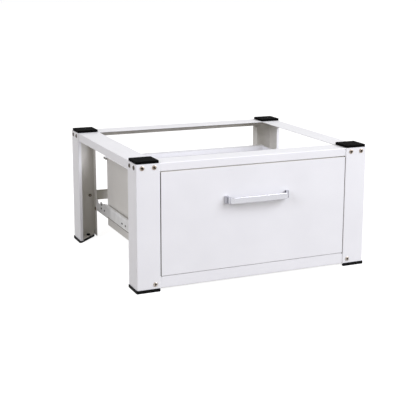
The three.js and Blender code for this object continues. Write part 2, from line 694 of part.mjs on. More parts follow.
// A bow of flat bar: a straight grip, round corners, and legs that thicken and slope out to feet on the
// front.
function handle() {
  const seat = -postY - GAP;
  const reach = HANDLE_REACH - GAP - HANDLE_THICKNESS / 2;
  const grip = HANDLE_BAR_LENGTH / 2;
  const arch = 1.2; // the grip bows forward a little
  const halfRoute = [
    [handleScrewX, 0],
    [handleScrewX - 0.6, 5],
    [grip - 0.4, reach - 8],
    [grip - 5, reach - arch - 0.6],
    [grip - 16, reach - arch],
  ];
  const places = [...halfRoute.map(([x, out]) => [-x, out]), [0, reach], ...halfRoute.reverse()];
  const points = places.map(([x, out]) => new THREE.Vector3(x, seat - out, HANDLE_Z));
  const route = new THREE.CatmullRomCurve3(points, false, "centripetal");
  const steps = 36;
  const rings = [];
  for (let i = 0; i <= steps; i++) {
    // stations crowd towards both ends, where the bar bends
    const u = i / steps;
    const along = u - Math.sin(4 * Math.PI * u) / (5.2 * Math.PI);
    const point = route.getPointAt(along);
    const atEnd = i === 0 || i === steps;
    const tangent = atEnd ? new THREE.Vector3(0, i ? 1 : -1, 0) : route.getTangentAt(along);
    const normal = new THREE.Vector3(-tangent.y, tangent.x, 0).normalize();
    const footed = 1 - THREE.MathUtils.smoothstep(seat - point.y, 1, reach - 4);
    const half = THREE.MathUtils.lerp(HANDLE_THICKNESS, HANDLE_FOOT_THICKNESS, footed) / 2;
    const tall = THREE.MathUtils.lerp(HANDLE_BAR_HEIGHT, HANDLE_FOOT_HEIGHT, footed) / 2;
    const soft = 1.1; // rounding of the bar's edges
    const ring = [];
    for (const [a, b] of [[1, 1], [-1, 1], [-1, -1], [1, -1]]) {
      const corners = [
        [half * a, (tall - soft) * b],
        [(half - soft) * a, tall * b],
      ];
      if (a * b < 0) corners.reverse();
      corners.forEach(([across, up]) =>
        ring.push(point.clone().addScaledVector(normal, across).add(new THREE.Vector3(0, 0, up))),
      );
    }
    rings.push(ring);
  }
  const screwHoles = [-1, 1].map((side) =>
    rod("y", [side * handleScrewX, HANDLE_Z], HANDLE_HOLE_RADIUS, seat - 6, seat + 1, 8),
  );
  return cut(loft(rings), screwHoles);
}
piece("handle", handle(), CHROME, drawer);

const backwards = new THREE.Vector3(0, 1, 0);
for (const side of Object.keys(SIDES)) {
  const x = SIDES[side] * handleScrewX;
  const y = -postY + PANEL_SHEET + SCREW_SEAT;
  screw(`screw_handle_${side}`, handleScrewSolid, x, y, HANDLE_Z, backwards, drawer);
}

export default pedestal;
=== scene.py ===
"""Washer pedestal with a drawer: a white stand of folded sheet steel on black foot caps, with rubber pads
for the machine's feet and a sheet-steel drawer on telescopic ball slides. Sizes are in millimetres until a
mesh is made, unless a comment says metres."""

import math
import random

import bmesh
import bpy
from mathutils import Matrix, Vector


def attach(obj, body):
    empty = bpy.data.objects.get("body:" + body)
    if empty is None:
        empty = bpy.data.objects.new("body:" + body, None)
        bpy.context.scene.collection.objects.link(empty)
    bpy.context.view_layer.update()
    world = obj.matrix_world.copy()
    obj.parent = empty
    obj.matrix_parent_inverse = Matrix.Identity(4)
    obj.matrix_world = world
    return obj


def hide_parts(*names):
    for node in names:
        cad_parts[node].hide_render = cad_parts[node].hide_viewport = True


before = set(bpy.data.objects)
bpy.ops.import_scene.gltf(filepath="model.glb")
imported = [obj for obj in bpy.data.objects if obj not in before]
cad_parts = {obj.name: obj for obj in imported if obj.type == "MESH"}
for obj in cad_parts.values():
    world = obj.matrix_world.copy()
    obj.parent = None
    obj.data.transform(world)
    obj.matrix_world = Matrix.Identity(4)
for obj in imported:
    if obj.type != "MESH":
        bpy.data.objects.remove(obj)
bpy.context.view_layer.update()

# ---- camera ----
# A slightly high view from the front left, with a long lens. The shift only sets the object in the picture
# where the photograph has it.

MM = 0.001  # one millimetre in metres
STAND_BACK = 11  # the stand's middle lies this far behind the middle of the whole object
IMAGE = 416  # pixels on each side
FOCAL_PIXELS = 956.72
SENSOR = 36
SIGHT = 50  # metres
MIDDLE_PIXEL = (225.95, 176.37)  # where the line of sight meets the picture
EYE = (-1031.48, -2317.39 + STAND_BACK, 750.09)
YAW, PITCH, ROLL = (math.radians(a) for a in (24.816, 12.055, 0.458))


def new_object(name, data):
    made = bpy.data.objects.new(name, data)
    bpy.context.scene.collection.objects.link(made)
    return made


camera_data = bpy.data.cameras.new("camera")
camera_data.sensor_width = SENSOR
camera_data.lens = FOCAL_PIXELS / IMAGE * SENSOR
camera_data.shift_x = 0.5 - MIDDLE_PIXEL[0] / IMAGE
camera_data.shift_y = MIDDLE_PIXEL[1] / IMAGE - 0.5
camera_data.clip_end = SIGHT
camera = new_object("camera", camera_data)
ahead = Vector((math.sin(YAW) * math.cos(PITCH), math.cos(YAW) * math.cos(PITCH), -math.sin(PITCH)))
level = Vector((math.cos(YAW), -math.sin(YAW), 0))
upright = level.cross(ahead)
across = level * math.cos(ROLL) + upright * math.sin(ROLL)
above = upright * math.cos(ROLL) - level * math.sin(ROLL)
aimed = Matrix((across, above, -ahead)).transposed().to_4x4()
camera.matrix_world = Matrix.Translation(Vector(EYE) * MM) @ aimed
bpy.context.scene.camera = camera

# ---- corner posts ----
# Each post is 1.5 mm steel folded to an open square: a side flange with a short lip, and an end flange with a
# deep return that carries a slide. A plate for the foot is welded in, and the whole is powder coated white,
# with painted shade inside, and darker painted shade on the edges of the front posts that face the drawer.

SIDES = {"left": -1, "right": 1}
ENDS = {"front": -1, "rear": 1}
POST_X, POST_Y = 313, 268  # outer faces
POST_WIDTH = 60
POST_BOTTOM, POST_TOP = 6.8, 313.3
SHEET = 1.5
BEND = 2  # outer radius of a fold
GAP = 0.3  # between pieces that touch
PAST = 3  # how far a cutting tool runs past what it cuts
SHY = 0.05  # how far a face stays clear of one that it must not touch
SHEET_EDGE = 0.2  # rounding of cut edges under the coat
WELD = 0.001  # corners nearer than this are one
FLAT_WEIGHT = 90  # how far flats outweigh bends in the shading
LIP = 8.4
RETURN = 27
RAIL_BOTTOM = 292.8
OPENING_X = POST_X - POST_WIDTH
INNER_X, INNER_Y = POST_X - SHEET - GAP, POST_Y - SHEET - GAP
HOLE = 2.8  # radius of a screw hole
UNSHADED_FROM = POST_TOP - 1  # faces above this have no painted shade
NOTCH_ROOM = 1  # below a top rail
SLOT_ROOM = 0.7  # above and below a tongue
SCREW_Z = POST_TOP - 9.5
SCREW_INSETS = (45, 15)  # from the stand's corner
END_SCREWS = [POST_X - inset for inset in SCREW_INSETS]
SIDE_SCREWS = [POST_Y - inset for inset in SCREW_INSETS]
SILL_TOP = 36
SILL_SCREW = (POST_X - 46, 19)
CROSSBAR_BOTTOM, CROSSBAR_HEIGHT = 108.6, 28.4
CROSSBAR_SCREW = (POST_X - 47, CROSSBAR_BOTTOM + CROSSBAR_HEIGHT / 2)
SLIDE_SCREWS = (-(POST_Y - 18.5), POST_Y - 19.5)
SLIDE_Z = 99
SLIDE_SCREW_Z = SLIDE_Z - 13
PLATE_TOP = POST_BOTTOM + SHEET
PLATE_SHORT = 4  # the plate's short sides
PLUG_X, PLUG_Y, PLUG_RADIUS = 276, 254, 3.7


def solid(points, faces):
    """A new object from corners in millimetres about the middle of the stand, its faces turned outwards."""
    mesh = bpy.data.meshes.new("mesh")
    mesh.from_pydata([(x * MM, (y + STAND_BACK) * MM, z * MM) for x, y, z in points], [], faces)
    shape = bmesh.new()
    shape.from_mesh(mesh)
    bmesh.ops.remove_doubles(shape, verts=shape.verts, dist=WELD * MM)
    bmesh.ops.recalc_face_normals(shape, faces=shape.faces)
    shape.to_mesh(mesh)
    shape.free()
    return new_object("piece", mesh)


def prism(axis, outline, start, end):
    """An outline pushed out along an axis: drawn in y and z for x, in x and z for y, in x and y for z."""
    turn = {
        "x": lambda u, v, w: (w, u, v),
        "y": lambda u, v, w: (u, w, v),
        "z": lambda u, v, w: (u, v, w),
    }[axis]
    count = len(outline)
    points = [turn(u, v, w) for w in (start, end) for u, v in outline]
    walls = [(i, (i + 1) % count, count + (i + 1) % count, count + i) for i in range(count)]
    return solid(points, [tuple(range(count)), tuple(range(count, 2 * count)), *walls])


def block(x0, x1, y0, y1, z0, z1):
    return prism("z", [(x0, y0), (x1, y0), (x1, y1), (x0, y1)], z0, z1)


def arc(centre, radius, from_degrees, to_degrees, steps):
    turns = [math.radians(from_degrees + (to_degrees - from_degrees) * k / steps) for k in range(steps + 1)]
    return [(centre[0] + radius * math.cos(a), centre[1] + radius * math.sin(a)) for a in turns]


def rod(axis, centre, radius, start, end, sides=24):
    return prism(axis, arc(centre, radius, 0, 360, sides)[:-1], start, end)


def folded(line, thickness, outer_radius, steps=6):
    """The outline of sheet folded along a line that runs through the middle of its thickness."""
    radius = outer_radius - thickness / 2
    points = [Vector(p) for p in line]
    near, far = [], []

    def add_station(point, heading):
        aside = Vector((-heading.y, heading.x)) * thickness / 2
        near.append(tuple(point + aside))
        far.insert(0, tuple(point - aside))

    for i, point in enumerate(points):
        arriving = (point - points[i - 1]).normalized() if i else None
        leaving = (points[i + 1] - point).normalized() if i < len(points) - 1 else None
        if arriving is None or leaving is None:
            add_station(point, arriving or leaving)
            continue
        turn = math.atan2(arriving.x * leaving.y - arriving.y * leaving.x, arriving.dot(leaving))
        start = point - arriving * radius * math.tan(abs(turn) / 2)
        centre = start + Vector((-arriving.y, arriving.x)) * math.copysign(radius, turn)
        for k in range(steps + 1):
            swing = Matrix.Rotation(turn * k / steps, 2)
            add_station(centre + swing @ (start - centre), swing @ arriving)
    return near + far


def merged(pieces):
    """Loose solids as one object."""
    whole = bmesh.new()
    mesh = bpy.data.meshes.new("mesh")
    for material in pieces[0].data.materials:
        mesh.materials.append(material)
    for one in pieces:
        whole.from_mesh(one.data)
        bpy.data.objects.remove(one)
    whole.to_mesh(mesh)
    whole.free()
    return new_object("piece", mesh)


def fix(piece):
    """Makes a piece's modifiers part of its mesh."""
    view = bpy.context.evaluated_depsgraph_get()
    mesh = bpy.data.meshes.new_from_object(piece.evaluated_get(view), depsgraph=view)
    piece.modifiers.clear()
    piece.data = mesh
    return piece


def combined(body, tools, operation):
    tool = merged(tools)
    change = body.modifiers.new("combine", "BOOLEAN")
    change.operation, change.solver, change.object = operation, "EXACT", tool
    fix(body)
    bpy.data.objects.remove(tool)
    return body


def cut(body, tools):
    return combined(body, tools, "DIFFERENCE")


def cut_with_painted_shade(body, tools, coat, shade_finish):
    """Cuts a coated piece so that the walls of the cut are another material, a painted shade."""
    for one in (body, *tools):
        if not one.data.materials:
            one.data.materials.append(coat)
            one.data.materials.append(shade_finish)
    for one in tools:
        for polygon in one.data.polygons:
            polygon.material_index = 1
    return cut(body, tools)


def join(body, others):
    for other in others:
        combined(body, [other], "UNION")
    return body


def mirrored(body, x, y):
    """A copy of a piece on another side of the stand."""
    mesh = body.data.copy()
    for vertex in mesh.vertices:
        vertex.co.x *= x
        vertex.co.y = (vertex.co.y - STAND_BACK * MM) * y + STAND_BACK * MM
    if x * y < 0:
        mesh.flip_normals()
    return new_object("piece", mesh)


def soften(body, width, segments=2, sharper_than=35):
    """Rounds a piece's edges a little and shades its flats flat and its bends smooth."""
    for polygon in body.data.polygons:
        polygon.use_smooth = True
    bevel = body.modifiers.new("edges", "BEVEL")
    bevel.width, bevel.segments, bevel.limit_method = width * MM, segments, "ANGLE"
    bevel.angle_limit = math.radians(sharper_than)
    bevel.use_clamp_overlap = True
    even = body.modifiers.new("shading", "WEIGHTED_NORMAL")
    even.weight = FLAT_WEIGHT
    return fix(body)


def set_up(piece, name, body, node, slot, material=None):
    """Names a piece, gives it its finish if it has none, and says what it rides on and stands for."""
    piece.name = piece.data.name = name
    if material:
        piece.data.materials.append(material)
    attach(piece, body)
    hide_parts(node)


def set_copies(drawn, places, names, slot, material=None, **softening):
    """Sets softened copies of a piece at places given as a word and the signs of x and y. The word completes
    the names of the copy, of what it rides on and of what it stands for."""
    for word, (x, y) in places.items():
        one = soften(mirrored(drawn, x, y), **softening)
        set_up(one, *(name.format(word) for name in names), slot, material)
    bpy.data.objects.remove(drawn)


def corners(ends=ENDS):
    return {f"{end}_{side}": (sx, ENDS[end]) for end in ends for side, sx in SIDES.items()}


RAMP_STOPS = (0.3, 0.7)  # the noise seldom goes past these


def linear(colour):
    """An sRGB hex colour as linear light."""
    parts = [int(colour[i : i + 2], 16) / 255 for i in (0, 2, 4)]
    return tuple(c / 12.92 if c <= 0.04045 else ((c + 0.055) / 1.055) ** 2.4 for c in parts) + (1,)


def add(tree, kind, inputs=None, ramp=(), **settings):
    """Adds a node. An input is a value, an output to link from, or a node, which stands for its first output.
    A ramp has two hex colours."""
    node = tree.nodes.new("ShaderNode" + kind)
    for key, value in settings.items():
        setattr(node, key, value)
    for key, value in (inputs or {}).items():
        if isinstance(value, bpy.types.Node):
            value = value.outputs[0]
        if isinstance(value, bpy.types.NodeSocket):
            tree.links.new(value, node.inputs[key])
        else:
            node.inputs[key].default_value = value
    for k, colour in enumerate(ramp):
        stop = node.color_ramp.elements[k]
        stop.position, stop.color = RAMP_STOPS[k], linear(colour)
    return node


def new_material(name):
    """An empty material, its node tree, and the object's own coordinates in metres."""
    material = bpy.data.materials.new(name)
    material.use_nodes = True
    tree = material.node_tree
    tree.nodes.clear()
    place = add(tree, "TexCoord").outputs["Object"]
    return material, tree, place


def surface(material, tone, colours, gloss, roughness, look, relief=None):
    """What a material shows. Its colour runs between two hex values with one pattern, `tone`, and its
    roughness between two numbers with another, `gloss`. A relief has a pattern, a strength and a height."""
    tree = material.node_tree
    colour = add(tree, "ValToRGB", {"Fac": tone}, colours)
    rough = add(tree, "MapRange", {"Value": gloss, "To Min": roughness[0], "To Max": roughness[1]})
    inputs = {"Base Color": colour, "Roughness": rough, **look}
    if relief:
        pattern, strength, height = relief
        bump = {"Height": pattern, "Strength": strength, "Distance": height * MM}
        inputs["Normal"] = add(tree, "Bump", bump)
    add(tree, "OutputMaterial", {"Surface": add(tree, "BsdfPrincipled", inputs)})
    return material


def powder_coat(name, colours):
    """Polyester powder, sprayed and baked: an even white with a satin gloss and a fine orange peel."""
    material, tree, place = new_material(name)
    # the real peel is about 1.5 mm from crest to crest, drawn at 4 mm to show
    peel = add(tree, "TexNoise", {"Vector": place, "Scale": 1 / (4 * MM), "Detail": 3})
    cloud = add(tree, "TexNoise", {"Vector": place, "Scale": 1 / (90 * MM)})
    look = {"IOR": 1.5, "Specular IOR Level": 0.4}
    return surface(material, cloud, colours, peel, (0.36, 0.46), look, (peel, 0.05, 0.4))


COAT = powder_coat("powder_coated_steel", ("EEEEF2", "F2F2F6"))
# the white coat a little darker and warmer: painted shade for faces where shade falls
SHADED_COAT = powder_coat("powder_coat_painted_shade", ("E2E0DC", "E8E6E2"))
# the white coat much darker: painted shade for the narrow gaps round the drawer and for the tub's rim ends
DEEP_SHADE_COAT = powder_coat("powder_coat_deep_painted_shade", ("96948F", "A09E99"))


def coat(piece, layer, finishes=(COAT, SHADED_COAT)):
    """Coats a piece, with painted shade on faces where shade falls: `layer` says which finish a face
    has, from its middle, with x and y taken as positive, and from its normal."""
    for finish in finishes:
        piece.data.materials.append(finish)
    for polygon in piece.data.polygons:
        x, y, z = polygon.center / MM
        polygon.material_index = int(layer(abs(x), abs(y - STAND_BACK), z, polygon.normal))
    return piece


# painted shade on the faces inside a post, below its top
def shaded_inside_post(x, y, z, normal):
    half = SHEET / 2
    low_y, high_y = POST_Y - POST_WIDTH + half, POST_Y - (half if x > OPENING_X + half else BEND)
    return x < POST_X - half and low_y < y < high_y and z < UNSHADED_FROM


# darker painted shade on the faces of a front post that face the drawer
def shaded_beside_drawer(x, y, z, normal):
    return 2 if x < OPENING_X + SHY else shaded_inside_post(x, y, z, normal)


def post(end):
    half = SHEET / 2
    line = [
        (POST_X - LIP, POST_Y - POST_WIDTH + half),
        (POST_X - half, POST_Y - POST_WIDTH + half),
        (POST_X - half, POST_Y - half),
        (OPENING_X + half, POST_Y - half),
        (OPENING_X + half, POST_Y - RETURN),
    ]
    inside, lip_y = POST_Y - SHEET - SHY, POST_Y - POST_WIDTH
    beside = (OPENING_X - PAST, OPENING_X + PAST)
    notch_z = (RAIL_BOTTOM - NOTCH_ROOM, POST_TOP + PAST)
    tools = [
        block(*beside, POST_Y - RETURN - PAST, inside, *notch_z),
        block(POST_X - LIP - PAST, POST_X - SHEET - SHY, lip_y - PAST, lip_y + PAST, *notch_z),
    ]
    if end == "front":
        slot_z, low_screw, slide_y = (0, SILL_TOP + SLOT_ROOM), SILL_SCREW, -SLIDE_SCREWS[0]
    else:
        slot_z = (CROSSBAR_BOTTOM - SLOT_ROOM, CROSSBAR_BOTTOM + CROSSBAR_HEIGHT + SLOT_ROOM)
        low_screw, slide_y = CROSSBAR_SCREW, SLIDE_SCREWS[1]
    tools.append(block(*beside, INNER_Y - SHEET - 2 * GAP, inside, *slot_z))
    screws = [(x, SCREW_Z) for x in END_SCREWS] + [low_screw]
    tools += [rod("y", place, HOLE, POST_Y - PAST, POST_Y + PAST) for place in screws]
    tools += [rod("x", (y, SCREW_Z), HOLE, POST_X - PAST, POST_X + PAST) for y in SIDE_SCREWS]
    tools.append(rod("x", (slide_y, SLIDE_SCREW_Z), HOLE, *beside))
    tools.append(rod("z", (PLUG_X, PLUG_Y), PLUG_RADIUS + GAP, POST_BOTTOM - PAST, PLATE_TOP + PAST))
    x, y, reach = POST_X - half, POST_Y - half, POST_WIDTH - 2 * SHEET
    plate = [(x, y), (POST_X - reach, y), (POST_X - reach, y - PLATE_SHORT)]
    plate += [(x - PLATE_SHORT, POST_Y - reach), (x, POST_Y - reach)]
    body = prism("z", folded(line, SHEET, BEND), POST_BOTTOM, POST_TOP)
    cut(join(body, [prism("z", plate, POST_BOTTOM, PLATE_TOP)]), tools)
    if end == "front":
        return coat(body, shaded_beside_drawer, (COAT, SHADED_COAT, DEEP_SHADE_COAT))
    return coat(body, shaded_inside_post)


for end in ENDS:
    names = ("corner_post_{}", "frame", "post_{}")
    set_copies(post(end), corners([end]), names, "white_powder_coat", width=SHEET_EDGE)

# ---- foot caps ----
# Caps of black plastic under the posts, each moulded in one piece: a three-cornered sole with a low rim round
# the post, and a round-headed plug that is pushed up through the post's foot plate and holds there.

WIDTH, DEPTH = 630, 540  # over the caps
SOLE = 6.5
SOLE_STEP = 0.6  # the sole is this much smaller where it meets the ground
CAP_SIDE = 60
CAP_CORNER = 7  # short sides at the two sharp corners
CAP_ROUNDING = 2
CAP_RIM, CAP_RIM_THICK = 1.8, 1.6
CAP_X, CAP_Y = WIDTH / 2 - SHY, DEPTH / 2 - SHY
CAP_EDGE = 0.45
PLUG_HEAD, PLUG_HEAD_TALL, PLUG_EDGE = 5.5, 4, 1.2
SUNK = 1  # how far forms that are moulded together reach into each other


def moulded_plastic():
    """Polypropylene with carbon black, injection moulded: a dull black with a fine sparked grain."""
    material, tree, place = new_material("moulded_black_plastic")
    # spark erosion leaves a grain of about 0.5 mm, drawn at 1.5 mm to show
    grain = add(tree, "TexNoise", {"Vector": place, "Scale": 1 / (1.5 * MM)})
    flow = add(tree, "TexNoise", {"Vector": place, "Scale": 1 / (30 * MM), "Detail": 3})
    look = {"IOR": 1.49, "Specular IOR Level": 0.1}
    return surface(material, flow, ("030303", "080808"), grain, (0.66, 0.8), look, (grain, 0.2, 0.3))


MOULDED_PLASTIC = moulded_plastic()


def sole(grow, z0, z1):
    outer = CAP_SIDE + grow
    corner = arc((CAP_X - CAP_ROUNDING, CAP_Y - CAP_ROUNDING), CAP_ROUNDING + grow, 0, 90, 6)
    outline = [(CAP_X + grow, CAP_Y - outer), *corner, (CAP_X - outer, CAP_Y + grow)]
    outline += [(CAP_X - outer, CAP_Y - CAP_CORNER), (CAP_X - CAP_CORNER, CAP_Y - outer)]
    return prism("z", outline, z0, z1)


def cap_rim():
    middle, thick = (CAP_X - CAP_ROUNDING, CAP_Y - CAP_ROUNDING), CAP_RIM_THICK
    outline = [(CAP_X, CAP_Y - CAP_SIDE), *arc(middle, CAP_ROUNDING, 0, 90, 6), (CAP_X - CAP_SIDE, CAP_Y)]
    outline += [(CAP_X - CAP_SIDE, CAP_Y - thick), *arc(middle, CAP_ROUNDING - thick, 90, 0, 3)]
    return prism("z", [*outline, (CAP_X - thick, CAP_Y - CAP_SIDE)], SOLE - SUNK, SOLE + CAP_RIM)


def foot_cap():
    head = PLATE_TOP + GAP
    plug = rod("z", (PLUG_X, PLUG_Y), PLUG_RADIUS, SOLE - SUNK, head + SUNK)
    plug_head = rod("z", (PLUG_X, PLUG_Y), PLUG_HEAD, head, head + PLUG_HEAD_TALL)
    soften(plug_head, PLUG_EDGE, segments=4)
    return join(sole(0, SOLE_STEP, SOLE), [sole(-SOLE_STEP, 0, SUNK), cap_rim(), plug, plug_head])


names = ("foot_cap_{}", "frame", "foot_{}")
set_copies(foot_cap(), corners(), names, "plastic_feet", MOULDED_PLASTIC, width=CAP_EDGE, segments=3)

# ---- rubber pads ----
# Square pads of hard black rubber on top of the posts, where the machine's feet stand. They are moulded with
# rounded corners and glued down.

PAD_BOTTOM, PAD_TOP = POST_TOP + GAP, 320
PAD_SIDE, PAD_INSET, PAD_ROUNDING, PAD_EDGE = 56.2, 1.6, 2, 0.6


def moulded_rubber():
    """Nitrile rubber, moulded: matt black, a little grey from handling, with a fine pebbled skin."""
    material, tree, place = new_material("moulded_rubber")
    # the pebbles are about 0.8 mm apart, drawn at 2 mm to show
    pebble = add(tree, "TexVoronoi", {"Vector": place, "Scale": 1 / (2 * MM)})
    bloom = add(tree, "TexNoise", {"Vector": place, "Scale": 1 / (14 * MM), "Detail": 4})
    look = {"IOR": 1.52, "Specular IOR Level": 0.04}
    return surface(material, bloom, ("040404", "0A0A0A"), bloom, (0.84, 0.95), look, (pebble, 0.35, 0.4))


MOULDED_RUBBER = moulded_rubber()


def rounded_square(x0, x1, y0, y1, rounding, steps=6):
    bends = [(x1, y1, 0, -1, -1), (x0, y1, 90, 1, -1), (x0, y0, 180, 1, 1), (x1, y0, 270, -1, 1)]
    outline = []
    for x, y, turn, inward_x, inward_y in bends:
        centre = (x + inward_x * rounding, y + inward_y * rounding)
        outline += arc(centre, rounding, turn, turn + 90, steps)
    return outline


pad_x, pad_y = POST_X - PAD_INSET, POST_Y - PAD_INSET
pad_outline = rounded_square(pad_x - PAD_SIDE, pad_x, pad_y - PAD_SIDE, pad_y, PAD_ROUNDING)
pad, names = prism("z", pad_outline, PAD_BOTTOM, PAD_TOP), ("rubber_pad_{}", "frame", "pad_{}")
set_copies(pad, corners(), names, "rubber_pads", MOULDED_RUBBER, width=PAD_EDGE, segments=3)

# ---- top rails ----
# Four angles of folded sheet make the open top: a flat flange 58 mm wide, and an outer flange that is screwed
# inside the posts. Their flanges meet in mitres at the corners. The front one has a hem folded in along its
# lower edge, and shade is painted under them all.

RAIL_FLANGE = 58
FRONT_HEM = 9
FAR = 400  # beyond every piece of the stand


def rail_angle(face, sense, hem=0):
    """The section of a top rail, with its outer face at `face` and its flat flange running inwards."""
    half = SHEET / 2
    line = [
        (face - sense * half, RAIL_BOTTOM),
        (face - sense * half, POST_TOP - half),
        (face - sense * RAIL_FLANGE, POST_TOP - half),
    ]
    if hem:
        line[0] = (face - sense * half, RAIL_BOTTOM + half)
        line.insert(0, (face - sense * hem, RAIL_BOTTOM + half))
    return folded(line, SHEET, BEND)


def mitre(side_x, side_y, along_x):
    """What a rail leaves to its neighbour: everything past the diagonal of a corner."""
    x, y = (INNER_X - GAP / 2, INNER_Y) if along_x else (INNER_X, INNER_Y - GAP / 2)
    aside = (x + FAR, y - FAR) if along_x else (x - FAR, y + FAR)
    outline = [(x, y), (x + FAR, y + FAR), aside, (x - FAR / 2, y - FAR / 2)]
    return prism("z", [(side_x * u, side_y * v) for u, v in outline], 0, FAR)


def top_rail(name, sense, along_x, hem=0):
    if along_x:
        axis, hole_axis, face, length, screws = "x", "y", INNER_Y, INNER_X + SHEET, END_SCREWS
    else:
        axis, hole_axis, face, length, screws = "y", "x", INNER_X, INNER_Y + SHEET, SIDE_SCREWS

    # painted shade under the flat flange and inside the outer one
    def under(x, y, z, normal):
        return z < UNSHADED_FROM and (y if along_x else x) < face - SHEET / 2

    rail = prism(axis, rail_angle(sense * face, sense, hem), -length, length)
    holes = [(s * place, SCREW_Z) for s in (-1, 1) for place in screws]
    cut(rail, [rod(hole_axis, hole, HOLE, sense * face - PAST, sense * face + PAST) for hole in holes])
    for s in (-1, 1):
        cut(rail, [mitre(s, sense, True) if along_x else mitre(sense, s, False)])
    soften(coat(rail, under), SHEET_EDGE)
    set_up(rail, f"rail_top_{name}", "frame", f"top_rail_{name}", "white_powder_coat")


top_rail("front", ENDS["front"], True, FRONT_HEM)
top_rail("rear", ENDS["rear"], True)
for side, sx in SIDES.items():
    top_rail(side, sx, False)

# ---- bottom rail and crossbar ----
# Two channels of the same sheet. One closes the front under the drawer. The other ties the rear posts low
# down and is painted shade all over. Their webs go on as tongues through slots in the posts, with a screw at
# each end.

SILL_HEIGHT, SILL_DEPTH = 29.2, 20
CROSSBAR_DEPTH = 6
TONGUE = 14  # past the screw
FLANGE_SHORT = 3  # the flanges end this far from the posts


def channel(face, sense, bottom, height, depth, screw):
    half = SHEET / 2
    web, edge = face - sense * half, face - sense * depth
    line = [
        (edge, bottom + half),
        (web, bottom + half),
        (web, bottom + height - half),
        (edge, bottom + height - half),
    ]
    tongue, end = screw[0] + TONGUE, OPENING_X - FLANGE_SHORT
    y0, y1 = sorted((face, face - sense * SHEET))
    body = prism("x", folded(line, SHEET, BEND), -end, end)
    join(body, [block(-tongue, tongue, y0, y1, bottom + BEND, bottom + height - BEND)])
    return cut(body, [rod("y", (s * screw[0], screw[1]), HOLE, y0 - PAST, y1 + PAST) for s in (-1, 1)])


sill = channel(-INNER_Y, -1, POST_BOTTOM, SILL_HEIGHT, SILL_DEPTH, SILL_SCREW)
crossbar = channel(INNER_Y, 1, CROSSBAR_BOTTOM, CROSSBAR_HEIGHT, CROSSBAR_DEPTH, CROSSBAR_SCREW)
for one, name, node, finish in (
    (sill, "rail_bottom_front", "bottom_rail_front", COAT),
    # the rear tie bar is painted shade all over
    (crossbar, "rear_tie_bar", "crossbar_rear", SHADED_COAT),
):
    set_up(soften(one, SHEET_EDGE), name, "frame", node, "white_powder_coat", finish)

# ---- screws ----
# M5 pan-head machine screws with a cross recess, cold headed and nickel plated, and an oiled hexagon nut
# behind each that holds a rail. The screws on the sides carry painted shade, the low ones at the front
# painted light, and the cross recesses near black painted shade; the recesses stand at any angle, as a driver
# left them.

HEAD_RADIUS, HEAD_TALL, HEAD_SEAT = 5.7, 1.9, 0.1
DOME_FROM, DOME_ANGLES = 0.35, (0, 20, 40, 58, 74)  # a share of the head's height, and degrees
SHANK_RADIUS = 2.4
HEAD_EDGE = 0.25  # cut off under the head's rim
SHANK_POINT, SHANK_END = 0.7, 0.75  # length of the tapered end, and the share of the radius that it ends in
RECESS_ARM, RECESS_WIDTH, RECESS_DEPTH = 4.8, 2.6, 1.7
RECESS_RISE, RECESS_FOOT = 1, 0.6  # its arms taper from above the head to this share of their length
SMALL_RECESS = 0.8
SCREW_EDGE, NUT_EDGE = 0.12, 0.35
NUT_ACROSS, NUT_TALL, NUT_ROOM = 8, 3.2, 0.15
NUT_DEPTH = 2 * SHEET + GAP + NUT_ROOM  # from a post's face to the nut behind the rail
SHANK, SLIDE_SHANK = 10, 2.6  # lengths


def nickel_plate(name, colours):
    """Bright nickel over cold-headed steel: a warm mirror with a trace of tool marks."""
    material, tree, place = new_material(name)
    marks = add(tree, "TexNoise", {"Vector": place, "Scale": 1 / (2.5 * MM), "Detail": 3})
    return surface(material, marks, colours, marks, (0.18, 0.3), {"Metallic": 1}, (marks, 0.15, 0.2))


def dark_steel(name, colours):
    """Dull steel with a brown cast: the nuts' oiled finish, and painted shade in recesses, holes, slots and
    under the slides.
    """
    material, tree, place = new_material(name)
    stain = add(tree, "TexNoise", {"Vector": place, "Scale": 1 / (3 * MM), "Detail": 3})
    return surface(material, stain, colours, stain, (0.5, 0.7), {"Metallic": 0.6, "Specular IOR Level": 0.2})


NICKEL_PLATE = nickel_plate("nickel_plated_steel", ("8C7F73", "AFA296"))
# a darker copy of the plate: painted shade for the screws on the sides
SHADED_NICKEL = nickel_plate("nickel_painted_shade", ("4A433D", "6A6058"))
# a lighter copy of the plate: painted light for the low screws at the front
LIT_NICKEL = nickel_plate("nickel_painted_light", ("948A80", "B8B0A8"))
# near black: painted shade on the walls of screw recesses and of the slides' holes and slots
SHADE_BLACK = dark_steel("painted_shade_black", ("0E0C0A", "1C1815"))
# the nuts' own oiled finish, also used as painted shade on the slides' lower bends
OILED_STEEL_AND_SHADE = dark_steel("oiled_steel_and_painted_shade", ("6E6962", "827C74"))


def turned(profile, sides=28):
    """A shape turned about the z axis from points given as radius and height, both ends on the axis."""
    points, faces, rings = [], [], []
    for radius, z in profile:
        if radius == 0:
            rings.append([len(points)])
            points.append((0, -STAND_BACK, z))
        else:
            rings.append(list(range(len(points), len(points) + sides)))
            points += [(x, y - STAND_BACK, z) for x, y in arc((0, 0), radius, 0, 360, sides)[:-1]]
    for low, high in zip(rings, rings[1:]):
        for k in range(sides):
            after = k + 1
            ring = (low[k % len(low)], low[after % len(low)], high[after % len(high)], high[k % len(high)])
            faces.append(tuple(dict.fromkeys(ring)))
    return solid(points, faces)


